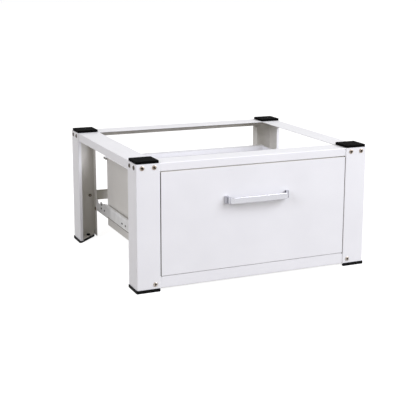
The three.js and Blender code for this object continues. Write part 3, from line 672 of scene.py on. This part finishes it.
def screw_mesh(length, finish, recess=1, head_radius=HEAD_RADIUS, shank_radius=SHANK_RADIUS):
    profile = [(0, -length), (shank_radius * SHANK_END, -length), (shank_radius, SHANK_POINT - length)]
    profile += [(shank_radius, 0), (head_radius - HEAD_EDGE, 0), (head_radius, HEAD_EDGE)]
    for angle in map(math.radians, DOME_ANGLES):
        height = HEAD_TALL * (DOME_FROM + (1 - DOME_FROM) * math.sin(angle))
        profile.append((head_radius * math.cos(angle), height))
    body = turned([*profile, (0, HEAD_TALL)])
    arm, half = RECESS_ARM * recess * head_radius / HEAD_RADIUS, RECESS_WIDTH * recess / 2
    top, floor = HEAD_TALL + RECESS_RISE, HEAD_TALL - RECESS_DEPTH
    across = [(-arm, top), (-arm * RECESS_FOOT, floor), (arm * RECESS_FOOT, floor), (arm, top)]
    # the cross recess is near black painted shade
    cut_with_painted_shade(body, [prism("y", across, -half - STAND_BACK, half - STAND_BACK)], finish, SHADE_BLACK)
    across = [(u - STAND_BACK, v) for u, v in across]
    cut_with_painted_shade(body, [prism("x", across, -half, half)], finish, SHADE_BLACK)
    return soften(body, SCREW_EDGE, sharper_than=40)


def hexagon_nut():
    hexagon = arc((0, -STAND_BACK), NUT_ACROSS / math.sqrt(3), 0, 360, 6)[:-1]
    bore = rod("z", (0, -STAND_BACK), SHANK_RADIUS + NUT_ROOM, -NUT_TALL - PAST, PAST)
    body = soften(cut(prism("z", hexagon, -NUT_TALL, 0), [bore]), NUT_EDGE, sharper_than=40)
    body.data.materials.append(OILED_STEEL_AND_SHADE)
    return body


def seated(name, source, place, direction, turn, body):
    """A copy of a screw or nut at its place, facing a direction and turned about it at random."""
    one = new_object(name, source.data)
    x, y, z = place
    facing = Vector((0, 0, 1)).rotation_difference(Vector(direction)).to_matrix().to_4x4()
    spin = Matrix.Rotation(spins.uniform(0, turn), 4, "Z")
    one.matrix_world = Matrix.Translation(Vector((x, y + STAND_BACK, z)) * MM) @ facing @ spin
    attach(one, body)
    return one


def screw(name, body, source, place, direction):
    one = seated(f"pan_head_{name}", source, place, direction, math.pi / 2, body)
    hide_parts(name)


def nut(name, place, direction):
    seated(f"nut_{name}", nut_source, place, direction, math.pi / 3, "frame")


spins = random.Random(5)
frame_screw, slide_screw = screw_mesh(SHANK, NICKEL_PLATE), screw_mesh(SLIDE_SHANK, NICKEL_PLATE)
side_screw, low_screw = screw_mesh(SHANK, SHADED_NICKEL), screw_mesh(SHANK, LIT_NICKEL, SMALL_RECESS)
nut_source = hexagon_nut()
for corner, (sx, sy) in corners().items():
    end, side = corner.split("_")
    seat_x, seat_y = sx * (POST_X + HEAD_SEAT), sy * (POST_Y + HEAD_SEAT)
    nut_x, nut_y = sx * (POST_X - NUT_DEPTH), sy * (POST_Y - NUT_DEPTH)
    for i, x in enumerate(END_SCREWS, 1):
        screw(f"screw_{corner}_{i}", "frame", frame_screw, (sx * x, seat_y, SCREW_Z), (0, sy, 0))
        nut(f"{corner}_{i}", (sx * x, nut_y, SCREW_Z), (0, sy, 0))
    for i, y in enumerate(SIDE_SCREWS, 1):
        screw(f"screw_side_{corner}_{i}", "frame", side_screw, (seat_x, sy * y, SCREW_Z), (sx, 0, 0))
        nut(f"side_{corner}_{i}", (nut_x, sy * y, SCREW_Z), (sx, 0, 0))
    if end == "front":
        (x, z), source, holds = SILL_SCREW, low_screw, "bottom_rail"
    else:
        (x, z), source, holds = CROSSBAR_SCREW, frame_screw, "crossbar"
    screw(f"screw_{holds}_{side}", "frame", source, (sx * x, seat_y, z), (0, sy, 0))
    nut(f"{holds}_{side}", (sx * x, nut_y, z), (0, sy, 0))
    slide_seat = (sx * (OPENING_X + SHEET + HEAD_SEAT), SLIDE_SCREWS[sy > 0], SLIDE_SCREW_Z)
    screw(f"screw_slide_{corner}", "frame", slide_screw, slide_seat, (sx, 0, 0))
for source in (frame_screw, side_screw, low_screw, slide_screw, nut_source):
    bpy.data.objects.remove(source)

# ---- telescopic slides ----
# Ball slides of cold-rolled strip, zinc plated. The outer member is screwed to the posts' returns, has
# painted shade on its flanges, its lower bend and the walls of its holes and slots, and ends in a flat lobed
# tail with a notch. The middle one runs on balls inside it, and the inner one is fixed to the tub.

SLIDE_TALL, SLIDE_DEPTH, SLIDE_SHEET = 35, 13, 1.2
BALL_RADIUS, BALL_CLEARANCE = 1.7, 0.3
BALL_DEPTH = 8.8  # of the balls' middles, from the slide's outer face
TRAVEL = 400
PANEL_BACK = -256
SLIDE_BACK = 190  # rear end of the middle members
FRONT_SHORT = 1  # the middle and inner members start this far behind the outer one
INNER_SHORT = 2  # and the inner one ends this far before the middle one
STRIP_BEND = 1.1  # outer radius of the bends, in thicknesses
TAIL_FROM = 150  # the outer member's flanges end here, and the flat tail goes on
TAIL_LOBES, TAIL_NOTCH, TAIL_TAB = (50, 17), (79, 61.8), 82  # behind TAIL_FROM
LOBE_RADIUS, TAIL_CORNER = 12, 6
TAIL_LAP, TAB_CUT = 5, (3, 2.5)  # how far the tail reaches into the member, and the tab's cut corner
OUTER_BEND = 4  # radius of the outer member's two long bends, at the middle of the sheet
HOLE_REACH = 1  # how far the screw holes run past the web, into the lower bend
PAINTED_SHADE_FROM = 5  # depth in the flanges where the painted shade starts
SLOT_RADIUS, SLOT_HALF, SLOT_FLOOR = 2.4, 2.5, 0.3  # the pressed slots, and the sheet left under them
SLOT_PAIRS, SLOT_PITCH = (50, -130, -310), 28  # the rear slot of each pair, behind TAIL_FROM
LOBE_SLOT = (48, 8)  # behind TAIL_FROM, and below the top
STRIP_EDGE = 0.15
slide_x = OPENING_X - GAP
slide_front = PANEL_BACK + GAP
reach = SLIDE_SHEET / 2 + BALL_CLEARANCE + BALL_RADIUS
outer_ball = SLIDE_TALL / 2 - SLIDE_SHEET - BALL_CLEARANCE - BALL_RADIUS
middle_race = outer_ball - reach
inner_ball = middle_race - reach
inner_race = inner_ball - reach


def zinc_plate(name, colours):
    """Bright zinc on rolled strip: a pale grey metal with cloudy patches, and fine draw lines along it."""
    material, tree, place = new_material(name)
    # draw lines about 0.4 mm apart across the strip, drawn at 1.5 mm to show, and 100 mm long
    pitch = (1 / (1.5 * MM), 1 / (100 * MM), 1 / (1.5 * MM))
    drawn_out = add(tree, "Mapping", {"Vector": place, "Scale": pitch})
    lines = add(tree, "TexNoise", {"Vector": drawn_out, "Scale": 1})
    cloud = add(tree, "TexNoise", {"Vector": place, "Scale": 1 / (25 * MM), "Detail": 4})
    both = add(tree, "Math", {0: lines, 1: cloud}, operation="MULTIPLY")
    return surface(material, cloud, colours, both, (0.42, 0.6), {"Metallic": 0.3}, (lines, 0.12, 0.2))


ZINC_PLATE = zinc_plate("zinc_plated_strip", ("D8D8D8", "E8E8E8"))
# darker zinc: painted shade on the outer member's flanges
SHADED_ZINC = zinc_plate("zinc_painted_shade", ("A09E98", "B2B0AA"))


def strip(half, thickness, start, end):
    """A member rolled to a section, given from its middle upwards as depth from the outer face and height."""
    line = [(d, -h) for d, h in reversed(half)] + half
    line = [(slide_x - d, SLIDE_Z + h) for d, h in line]
    return prism("y", folded(line, thickness, thickness * STRIP_BEND, steps=4), start, end)


def split(body, place, normal):
    """Draws an edge round a piece where two finishes meet."""
    mesh = bmesh.new()
    mesh.from_mesh(body.data)
    every = [*mesh.verts, *mesh.edges, *mesh.faces]
    bmesh.ops.bisect_plane(mesh, geom=every, plane_co=Vector(place) * MM, plane_no=normal)
    mesh.to_mesh(body.data)
    mesh.free()


def outer_tail(low, high):
    """The side view of the flat tail: a lower edge, a tab at the post, a notch, and two lobes."""
    shoulder, notch, tab, end = high - 3.5, high - 10, high - 2.5, POST_Y - 8.5
    # the angle at which a lobe meets the shoulder
    lift = math.degrees(math.asin((shoulder - high + LOBE_RADIUS) / LOBE_RADIUS))
    corner = arc((end - TAIL_CORNER, low + TAIL_CORNER), TAIL_CORNER, -90, 0, 6)
    outline = [(TAIL_FROM - TAIL_LAP, low), *corner, (end, tab - TAB_CUT[1]), (end - TAB_CUT[0], tab)]
    outline += [(TAIL_FROM + TAIL_TAB, tab), *((TAIL_FROM + y, notch) for y in TAIL_NOTCH)]
    for lobe, start, steps in zip(TAIL_LOBES, (lift / 4, lift), (12, 10)):
        outline += arc((TAIL_FROM + lobe, high - LOBE_RADIUS), LOBE_RADIUS, start, 180 - lift, steps)
    return [*outline, (TAIL_FROM - TAIL_LAP, shoulder)]


def outer_member():
    low, high = SLIDE_Z - SLIDE_TALL / 2, SLIDE_Z + SLIDE_TALL / 2
    edge, lip = SLIDE_TALL / 2 - SLIDE_SHEET / 2, SLIDE_DEPTH - SLIDE_SHEET
    bend = arc((SLIDE_SHEET / 2 + OUTER_BEND, edge - OUTER_BEND), OUTER_BEND, 180, 90, 6)
    half = [*bend, (10, edge), (lip, outer_ball + 0.4), (lip, outer_ball - 1.6)]
    body = strip(half, SLIDE_SHEET, slide_front, TAIL_FROM)
    face, back = slide_x, slide_x - SLIDE_SHEET
    join(body, [prism("x", outer_tail(low, high), back, face)])
    tools = [rod("x", (y, SLIDE_SCREW_Z), HOLE, back - HOLE_REACH, face + PAST) for y in SLIDE_SCREWS]
    slots = [(TAIL_FROM + y - lag, SLIDE_Z - 2) for y in SLOT_PAIRS for lag in (0, SLOT_PITCH)]
    for y, z in [*slots, (TAIL_FROM + LOBE_SLOT[0], high - LOBE_SLOT[1])]:
        slot = arc((y + SLOT_HALF, z), SLOT_RADIUS, -90, 90, 8)
        slot += arc((y - SLOT_HALF, z), SLOT_RADIUS, 90, 270, 8)
        tools.append(prism("x", slot, back + SLOT_FLOOR, face + PAST))
    # the holes and slots get painted shade on their walls
    cut_with_painted_shade(body, tools, ZINC_PLATE, SHADE_BLACK)
    body.data.materials.append(SHADED_ZINC)
    body.data.materials.append(OILED_STEEL_AND_SHADE)
    split(body, (slide_x - PAINTED_SHADE_FROM, 0, 0), (1, 0, 0))
    # painted shade: darker zinc on the upward faces of the flanges, oiled steel on the downward faces of the
    # lower bend
    for polygon in body.data.polygons:
        x, y, z = polygon.center / MM
        if y > TAIL_FROM + STAND_BACK:
            continue
        if polygon.normal.z > 0.3 and x < slide_x - PAINTED_SHADE_FROM:
            polygon.material_index = 2
        elif polygon.normal.z < -0.1 and z < SLIDE_Z - SLIDE_TALL / 4:
            polygon.material_index = 3
    return body


def middle_member():
    half = [
        (3, middle_race + 1),
        (BALL_DEPTH - 2.2, middle_race + 1),
        (BALL_DEPTH - 0.6, middle_race),
        (BALL_DEPTH + 0.6, middle_race),
        (BALL_DEPTH + 2, middle_race + 1),
    ]
    return strip(half, SLIDE_SHEET, slide_front + FRONT_SHORT, SLIDE_BACK)


def inner_member():
    half = [(SLIDE_DEPTH - SLIDE_SHEET / 2, inner_race), (6.4, inner_race)]
    return strip(half, SLIDE_SHEET, slide_front + FRONT_SHORT, SLIDE_BACK - INNER_SHORT)


BOTH_SIDES = {side: (sx, 1) for side, sx in SIDES.items()}
for name, member, body, plate in (
    ("outer", outer_member(), "frame", None),
    ("middle", middle_member(), "middle_slide_{}", ZINC_PLATE),
    ("inner", inner_member(), "drawer", ZINC_PLATE),
):
    names = (f"slide_{name}_member_{{}}", body, f"slide_{name}_{{}}")
    set_copies(member, BOTH_SIDES, names, "zinc_plated_steel", plate, width=STRIP_EDGE)

# ---- ball cages ----
# Thin pressed channels of steel between the members. Each holds two rows of hardened balls at an even pitch,
# and runs at the mean speed of the two members that its balls roll between.

CAGE_SHEET, CAGE_EDGE = 0.6, 0.06
CAGE_LENGTH = 210
BALLS = 6  # in a row
BALL_RINGS, BALL_SIDES = 10, 16
CAGES = {"outer": (1.8, outer_ball), "inner": (4.7, inner_ball)}  # depth of the web, height of the balls
cage_back = SLIDE_BACK - TRAVEL / 4 - INNER_SHORT  # still between both members with the drawer right out


def bearing_steel():
    """Chrome bearing steel, lapped, in its oiled cage: nearly a mirror, with smears of grease."""
    material, tree, place = new_material("bearing_steel")
    grease = add(tree, "TexNoise", {"Vector": place, "Scale": 1 / (6 * MM), "Detail": 3})
    return surface(material, grease, ("AFAFAC", "CFCFCD"), grease, (0.1, 0.34), {"Metallic": 1})


BEARING_STEEL = bearing_steel()


def ball(x, y, z):
    """A ball with its seam circle upright, as it sits in the race."""
    angles = [math.pi * k / BALL_RINGS for k in range(1, BALL_RINGS)]
    rings = [(BALL_RADIUS * math.sin(a), -BALL_RADIUS * math.cos(a)) for a in angles]
    one = turned([(0, -BALL_RADIUS), *rings, (0, BALL_RADIUS)], BALL_SIDES)
    one.data.transform(Matrix.Translation(Vector((x, y + STAND_BACK, z)) * MM))
    return one


def ball_cage(web_depth, height):
    half = [(web_depth, height), (BALL_DEPTH + 1.9, height)]
    body = strip(half, CAGE_SHEET, cage_back - CAGE_LENGTH, cage_back)
    places = [cage_back - (i + 0.5) * CAGE_LENGTH / BALLS for i in range(BALLS)]
    balls = [ball(slide_x - BALL_DEPTH, y, SLIDE_Z + h) for y in places for h in (-height, height)]
    return combined(body, balls, "UNION")


for name, (web_depth, height) in CAGES.items():
    cage = ball_cage(web_depth, height)
    names = (f"cage_{name}_{{}}", f"{name}_cage_{{}}", f"ball_cage_{name}_{{}}")
    rounding = {"width": CAGE_EDGE, "segments": 1, "sharper_than": 60}
    set_copies(cage, BOTH_SIDES, names, "ball_steel", BEARING_STEEL, **rounding)

# ---- drawer tub ----
# A box folded from 1 mm sheet, spot welded and coated white like the stand, with painted shade outside.
# Narrow rims are folded out along its sides, and its back ends in a wider one with a hem inside, its ends in
# darker painted shade.
# A driver reaches the handle's screws through two holes.

TUB_SHEET = 1
TUB_BACK = 185
TUB_BOTTOM, TUB_TOP = 52.4, 247
SIDE_RIM, REAR_RIM, REAR_RIM_END = 2.5, 8, 6.5
SIDE_RIM_BACK = TUB_BACK - 5
REAR_HEM = 12
RIM_LIP, TUB_ROUNDING = 6, 3
HANDLE_SCREW_X, HANDLE_Z = 83, 210.5
HANDLE_SCREWS = (-HANDLE_SCREW_X, HANDLE_SCREW_X)
DRIVER_HOLE = 6
TUB_EDGE = 0.3
tub_x = OPENING_X - GAP - SLIDE_DEPTH - GAP
tub_front = PANEL_BACK + GAP


# painted shade on the tub's outer walls and bottom, and darker painted shade on the rear rim's ends
def shaded_outside_tub(x, y, z, normal):
    if x > tub_x + SIDE_RIM + TUB_SHEET / 2:
        return 2
    beside = x > tub_x - TUB_SHEET / 2 or (y > TUB_BACK - TUB_SHEET / 2 and normal.y > 0.5)
    return z < TUB_BOTTOM + TUB_SHEET / 2 or (beside and z < TUB_TOP - TUB_SHEET)


def tub():
    s = TUB_SHEET

    def box(grow, z0, z1):
        x, y0, y1, r = tub_x + grow, tub_front - grow, TUB_BACK + grow, TUB_ROUNDING + grow
        right, left = arc((x - r, y1 - r), r, 0, 90, 6), arc((-x + r, y1 - r), r, 90, 180, 6)
        return prism("z", [(-x, y0), (x, y0), *right, *left], z0, z1)

    side_x, rear_x, rim_back = tub_x + SIDE_RIM, tub_x + REAR_RIM_END, TUB_BACK + REAR_RIM
    hem_front, hem_bottom, low = TUB_BACK - s - REAR_HEM, TUB_TOP - REAR_HEM, TUB_TOP - RIM_LIP
    side_rims = block(-side_x, side_x, tub_front, SIDE_RIM_BACK, low, TUB_TOP)
    rear_rim = block(-rear_x, rear_x, hem_front, rim_back, low, TUB_TOP)
    body = join(box(0, TUB_BOTTOM, TUB_TOP), [side_rims, rear_rim])
    for under in (
        block(-side_x + s, side_x - s, tub_front - PAST, SIDE_RIM_BACK - s, low - PAST, TUB_TOP - s),
        block(-rear_x + s, rear_x - s, hem_front + s, rim_back - s, low - PAST, TUB_TOP - s),
    ):
        cut(body, [cut(under, [box(0, TUB_BOTTOM, TUB_TOP)])])
    cut(body, [box(-s, TUB_BOTTOM + s, TUB_TOP + PAST)])
    hem_x, hem_back = tub_x - s / 2, TUB_BACK - s / 2
    hem = block(-hem_x, hem_x, hem_front, hem_back, hem_bottom, TUB_TOP)
    open_x = tub_x + PAST
    cut(hem, [block(-open_x, open_x, hem_front + s, TUB_BACK, hem_bottom - PAST, TUB_TOP - s)])
    join(body, [hem])
    hole_y = (tub_front - PAST, tub_front + PAST)
    cut(body, [rod("y", (x, HANDLE_Z), DRIVER_HOLE, *hole_y) for x in HANDLE_SCREWS])
    return soften(coat(body, shaded_outside_tub, (COAT, SHADED_COAT, DEEP_SHADE_COAT)), TUB_EDGE)


set_up(tub(), "drawer_box", "drawer", "drawer_tub", "white_powder_coat")

# ---- drawer front ----
# A shallow tray of 1.2 mm sheet with a hem folded in all round its back, powder coated like the stand, with
# painted shade on its top and bottom edges and darker painted shade on its side edges. It is fixed to the
# tub, and the handle's two screws go through it.

PANEL_X = 251.2
PANEL_BOTTOM, PANEL_TOP = 37.5, 291
PANEL_SHEET, PANEL_HEM, PANEL_BEND = 1.2, 25, 0.5
HANDLE_HOLE = 2.3


# painted shade on the top and bottom edges, darker painted shade on the side edges
def shaded_front_edges(x, y, z, normal):
    return 2 if abs(normal.x) > 0.5 else abs(normal.z) > 0.5


def drawer_front():
    s, hem_x = PANEL_SHEET, PANEL_X - PANEL_HEM
    body = block(-PANEL_X, PANEL_X, -POST_Y, PANEL_BACK, PANEL_BOTTOM, PANEL_TOP)
    soften(body, PANEL_BEND, segments=5)
    hollow = (-POST_Y + s, PANEL_BACK - s, PANEL_BOTTOM + s, PANEL_TOP - s)
    cut(body, [block(-PANEL_X + s, PANEL_X - s, *hollow)])
    opening = (PANEL_BACK - PAST, PANEL_BACK + PAST, PANEL_BOTTOM + PANEL_HEM, PANEL_TOP - PANEL_HEM)
    cut(body, [block(-hem_x, hem_x, *opening)])
    cut(body, [rod("y", (x, HANDLE_Z), HANDLE_HOLE, -POST_Y - PAST, -POST_Y + PAST) for x in HANDLE_SCREWS])
    return soften(coat(body, shaded_front_edges, (COAT, SHADED_COAT, DEEP_SHADE_COAT)), SHEET_EDGE, sharper_than=40)


set_up(drawer_front(), "drawer_face", "drawer", "drawer_front", "white_powder_coat")

# ---- handle ----
# A bow cast in zinc alloy and satin chromed: a straight flat grip, round corners, and legs that thicken to
# feet on the drawer front. A darker chrome is painted shade inside the legs and in a band outside them. A
# small screw holds each foot from behind.

HANDLE_REACH = 24
GRIP_LENGTH, GRIP_TALL, GRIP_THICK = 156, 15, 4
FOOT_TALL, FOOT_THICK = 19, 9
ARCH = 1.2  # the grip bows forward a little
GRIP_CORNER, CORNER_STEPS, STATIONS = 1.1, 4, 110
HANDLE_EDGE = 0.3
SCREW_BORE = 6  # how deep a foot is drilled
SHADED_BAND = (7, 12)  # how far it stands from the drawer front
HANDLE_SCREW_LENGTH, HANDLE_SHANK, HANDLE_HEAD = 4.5, 1.9, 4


def satin_chrome(name, colours):
    """Chrome plate over brushed zinc alloy: a cool pale metal with fine lines along the grip in its gloss."""
    material, tree, place = new_material(name)
    # brush lines about 0.2 mm apart, drawn at 0.8 mm to show, and 25 mm long
    pitch = (1 / (25 * MM), 1 / (0.8 * MM), 1 / (0.8 * MM))
    drawn_out = add(tree, "Mapping", {"Vector": place, "Scale": pitch})
    brush = add(tree, "TexNoise", {"Vector": drawn_out, "Scale": 1})
    return surface(material, brush, colours, brush, (0.2, 0.32), {"Metallic": 1}, (brush, 0.06, 0.1))


SATIN_CHROME = satin_chrome("satin_chrome", ("BEBEC3", "C8C8CD"))
# a darker copy of the chrome: painted shade
SHADED_CHROME = satin_chrome("chrome_painted_shade", ("74747B", "82828A"))


def route_point(points, u):
    """A point and heading on a smooth curve through points, at u from 0 to 1 along its sections."""
    last = len(points) - 1
    i = min(int(u * last), last - 1)
    k = u * last - i
    before = points[i - 1] if i else points[0] * 2 - points[1]
    after = points[i + 2] if i + 2 <= last else points[-1] * 2 - points[-2]
    a, b = points[i], points[i + 1]
    out, into = (b - before) / 2, (after - a) / 2
    place = a * (2 * k**3 - 3 * k**2 + 1) + out * (k**3 - 2 * k**2 + k)
    place += b * (3 * k**2 - 2 * k**3) + into * (k**3 - k**2)
    heading = a * (6 * k**2 - 6 * k) + out * (3 * k**2 - 4 * k + 1)
    heading += b * (6 * k - 6 * k**2) + into * (3 * k**2 - 2 * k)
    return place, heading.normalized()


def bow_handle():
    seat = -POST_Y - GAP
    out = HANDLE_REACH - GAP - GRIP_THICK / 2
    grip = GRIP_LENGTH / 2
    half = [
        (HANDLE_SCREW_X, 0),
        (HANDLE_SCREW_X - 0.6, 5),
        (grip + 1.2, 10),
        (grip - 0.4, out - 8),
        (grip - 1.7, out - 4.4),
        (grip - 5, out - ARCH - 0.6),
        (grip - 10, out - ARCH + 0.05),
        (grip - 18, out - ARCH + 0.1),
        (grip - 40, out - ARCH * 0.45),
    ]
    places = [(-x, y) for x, y in half] + [(0, out)] + list(reversed(half))
    points = [Vector((x, seat - y)) for x, y in places]
    rings = []
    for i in range(STATIONS + 1):
        place, heading = route_point(points, i / STATIONS)
        if i in (0, STATIONS):
            heading = Vector((0, 1 if i else -1))
        aside = Vector((-heading.y, heading.x))
        share = min(max((seat - place.y - 1) / (out - 5), 0), 1)
        footed = 1 - share * share * (3 - 2 * share)
        thick = GRIP_THICK + (FOOT_THICK - GRIP_THICK) * footed
        tall = GRIP_TALL + (FOOT_TALL - GRIP_TALL) * footed
        section = rounded_square(-thick / 2, thick / 2, -tall / 2, tall / 2, GRIP_CORNER, CORNER_STEPS)
        rings.append([(place.x + aside.x * u, place.y + aside.y * u, HANDLE_Z + v) for u, v in section])
    count = len(rings[0])
    faces = [tuple(range(count)), tuple(range(STATIONS * count, (STATIONS + 1) * count))]
    for i in range(STATIONS):
        for k in range(count):
            a, b = i * count + k, i * count + (k + 1) % count
            faces.append((a, b, b + count, a + count))
    body = solid([p for ring in rings for p in ring], faces)
    cut(body, [rod("y", (x, HANDLE_Z), HANDLE_HOLE, seat - SCREW_BORE, seat + PAST) for x in HANDLE_SCREWS])
    body.data.materials.append(SATIN_CHROME)
    body.data.materials.append(SHADED_CHROME)
    # painted shade inside the legs and in a band outside them
    for polygon in body.data.polygons:
        x, y, z = polygon.center / MM
        outward, clear = polygon.normal.x * math.copysign(1, x), seat - (y - STAND_BACK)
        in_band = outward > 0.35 and SHADED_BAND[0] < clear < SHADED_BAND[1]
        polygon.material_index = int(outward < -0.6 or in_band)
    return soften(body, HANDLE_EDGE, sharper_than=50)


set_up(bow_handle(), "bow_handle", "drawer", "handle", "chrome")
handle_screw = screw_mesh(HANDLE_SCREW_LENGTH, NICKEL_PLATE, 1, HANDLE_HEAD, HANDLE_SHANK)
for side, sx in SIDES.items():
    seat = (sx * HANDLE_SCREW_X, -POST_Y + PANEL_SHEET + HEAD_SEAT, HANDLE_Z)
    screw(f"screw_handle_{side}", "drawer", handle_screw, seat, (0, 1, 0))
bpy.data.objects.remove(handle_screw)

# ---- studio ----
# A white floor without an edge and a white room, with a large soft lamp on the right in front and another on
# the left. The floor shows white to the camera and keeps a faint soft shadow of the object.

FLOOR_HALF = 20  # metres
ROOM_LIGHT = 0.425
ROOM_TINT = (1.0, 0.97, 0.88, 1)
FLOOR_PAINT = ("7C766C", "7E786E")
FLOOR_SHOWN = ("A6A6A6", "A8A8A8")
FLOOR_GLOW = 0.88
LAMP_AIM = (0, 0, 0.15)  # metres, in the middle of the object
LAMPS = {  # watts, side and place in metres, colour
    "key_lamp": (156, 3.0, (2.4, -2.7, 2.3), (0.97, 0.985, 1.06)),
    "left_lamp": (41, 1.4, (-2.75, -1.5, 1.7), (0.98, 0.98, 1.08)),
}


def to_the_eye(tree):
    """Is 1 for what the camera sees, straight or through a mirror or glass, and 0 for light on its way."""
    path = add(tree, "LightPath")
    shown = path.outputs["Is Camera Ray"]
    for kind in ("Is Glossy Ray", "Is Transmission Ray"):
        shown = add(tree, "Math", {0: shown, 1: path.outputs[kind]}, operation="MAXIMUM")
    return shown


def white_floor():
    material, tree, place = new_material("white_floor")
    fade = add(tree, "TexNoise", {"Vector": place, "Scale": 0.5})
    tones = [add(tree, "ValToRGB", {"Fac": fade}, colours) for colours in (FLOOR_PAINT, FLOOR_SHOWN)]
    paint, pale = (add(tree, "BsdfDiffuse", {"Color": tone, "Roughness": 0.5}) for tone in tones)
    glow = add(tree, "Emission", {"Color": (1, 1, 1, 1), "Strength": FLOOR_GLOW})
    lit = add(tree, "AddShader", {0: pale, 1: glow})
    mix = add(tree, "MixShader", {"Fac": to_the_eye(tree), 1: paint, 2: lit})
    add(tree, "OutputMaterial", {"Surface": mix})
    return material


ground = [(x * FLOOR_HALF, y * FLOOR_HALF, 0) for x, y in ((-1, -1), (1, -1), (1, 1), (-1, 1))]
floor_mesh = bpy.data.meshes.new("floor")
floor_mesh.from_pydata(ground, [], [(0, 1, 2, 3)])
floor_mesh.materials.append(white_floor())
new_object("floor", floor_mesh)

world = bpy.data.worlds.new("white_room")
bpy.context.scene.world = world
world.use_nodes = True
room = world.node_tree
room.nodes.clear()
shown = to_the_eye(room)
strength = add(room, "MapRange", {"Value": shown, "To Min": ROOM_LIGHT, "To Max": 1})
tint = add(room, "Mix", {"Factor": shown, "A": ROOM_TINT, "B": (1, 1, 1, 1)}, data_type="RGBA")
background = add(room, "Background", {"Color": tint.outputs["Result"], "Strength": strength})
add(room, "OutputWorld", {"Surface": background})

for name, (watts, side, place, colour) in LAMPS.items():
    lamp_data = bpy.data.lights.new(name, "AREA")
    lamp_data.energy, lamp_data.size, lamp_data.color = watts, side, colour
    lamp = new_object(name, lamp_data)
    aim = Vector(LAMP_AIM) - Vector(place)
    lamp.matrix_world = Matrix.Translation(place) @ aim.to_track_quat("-Z", "Y").to_matrix().to_4x4()

bpy.context.scene.view_settings.view_transform = "Standard"
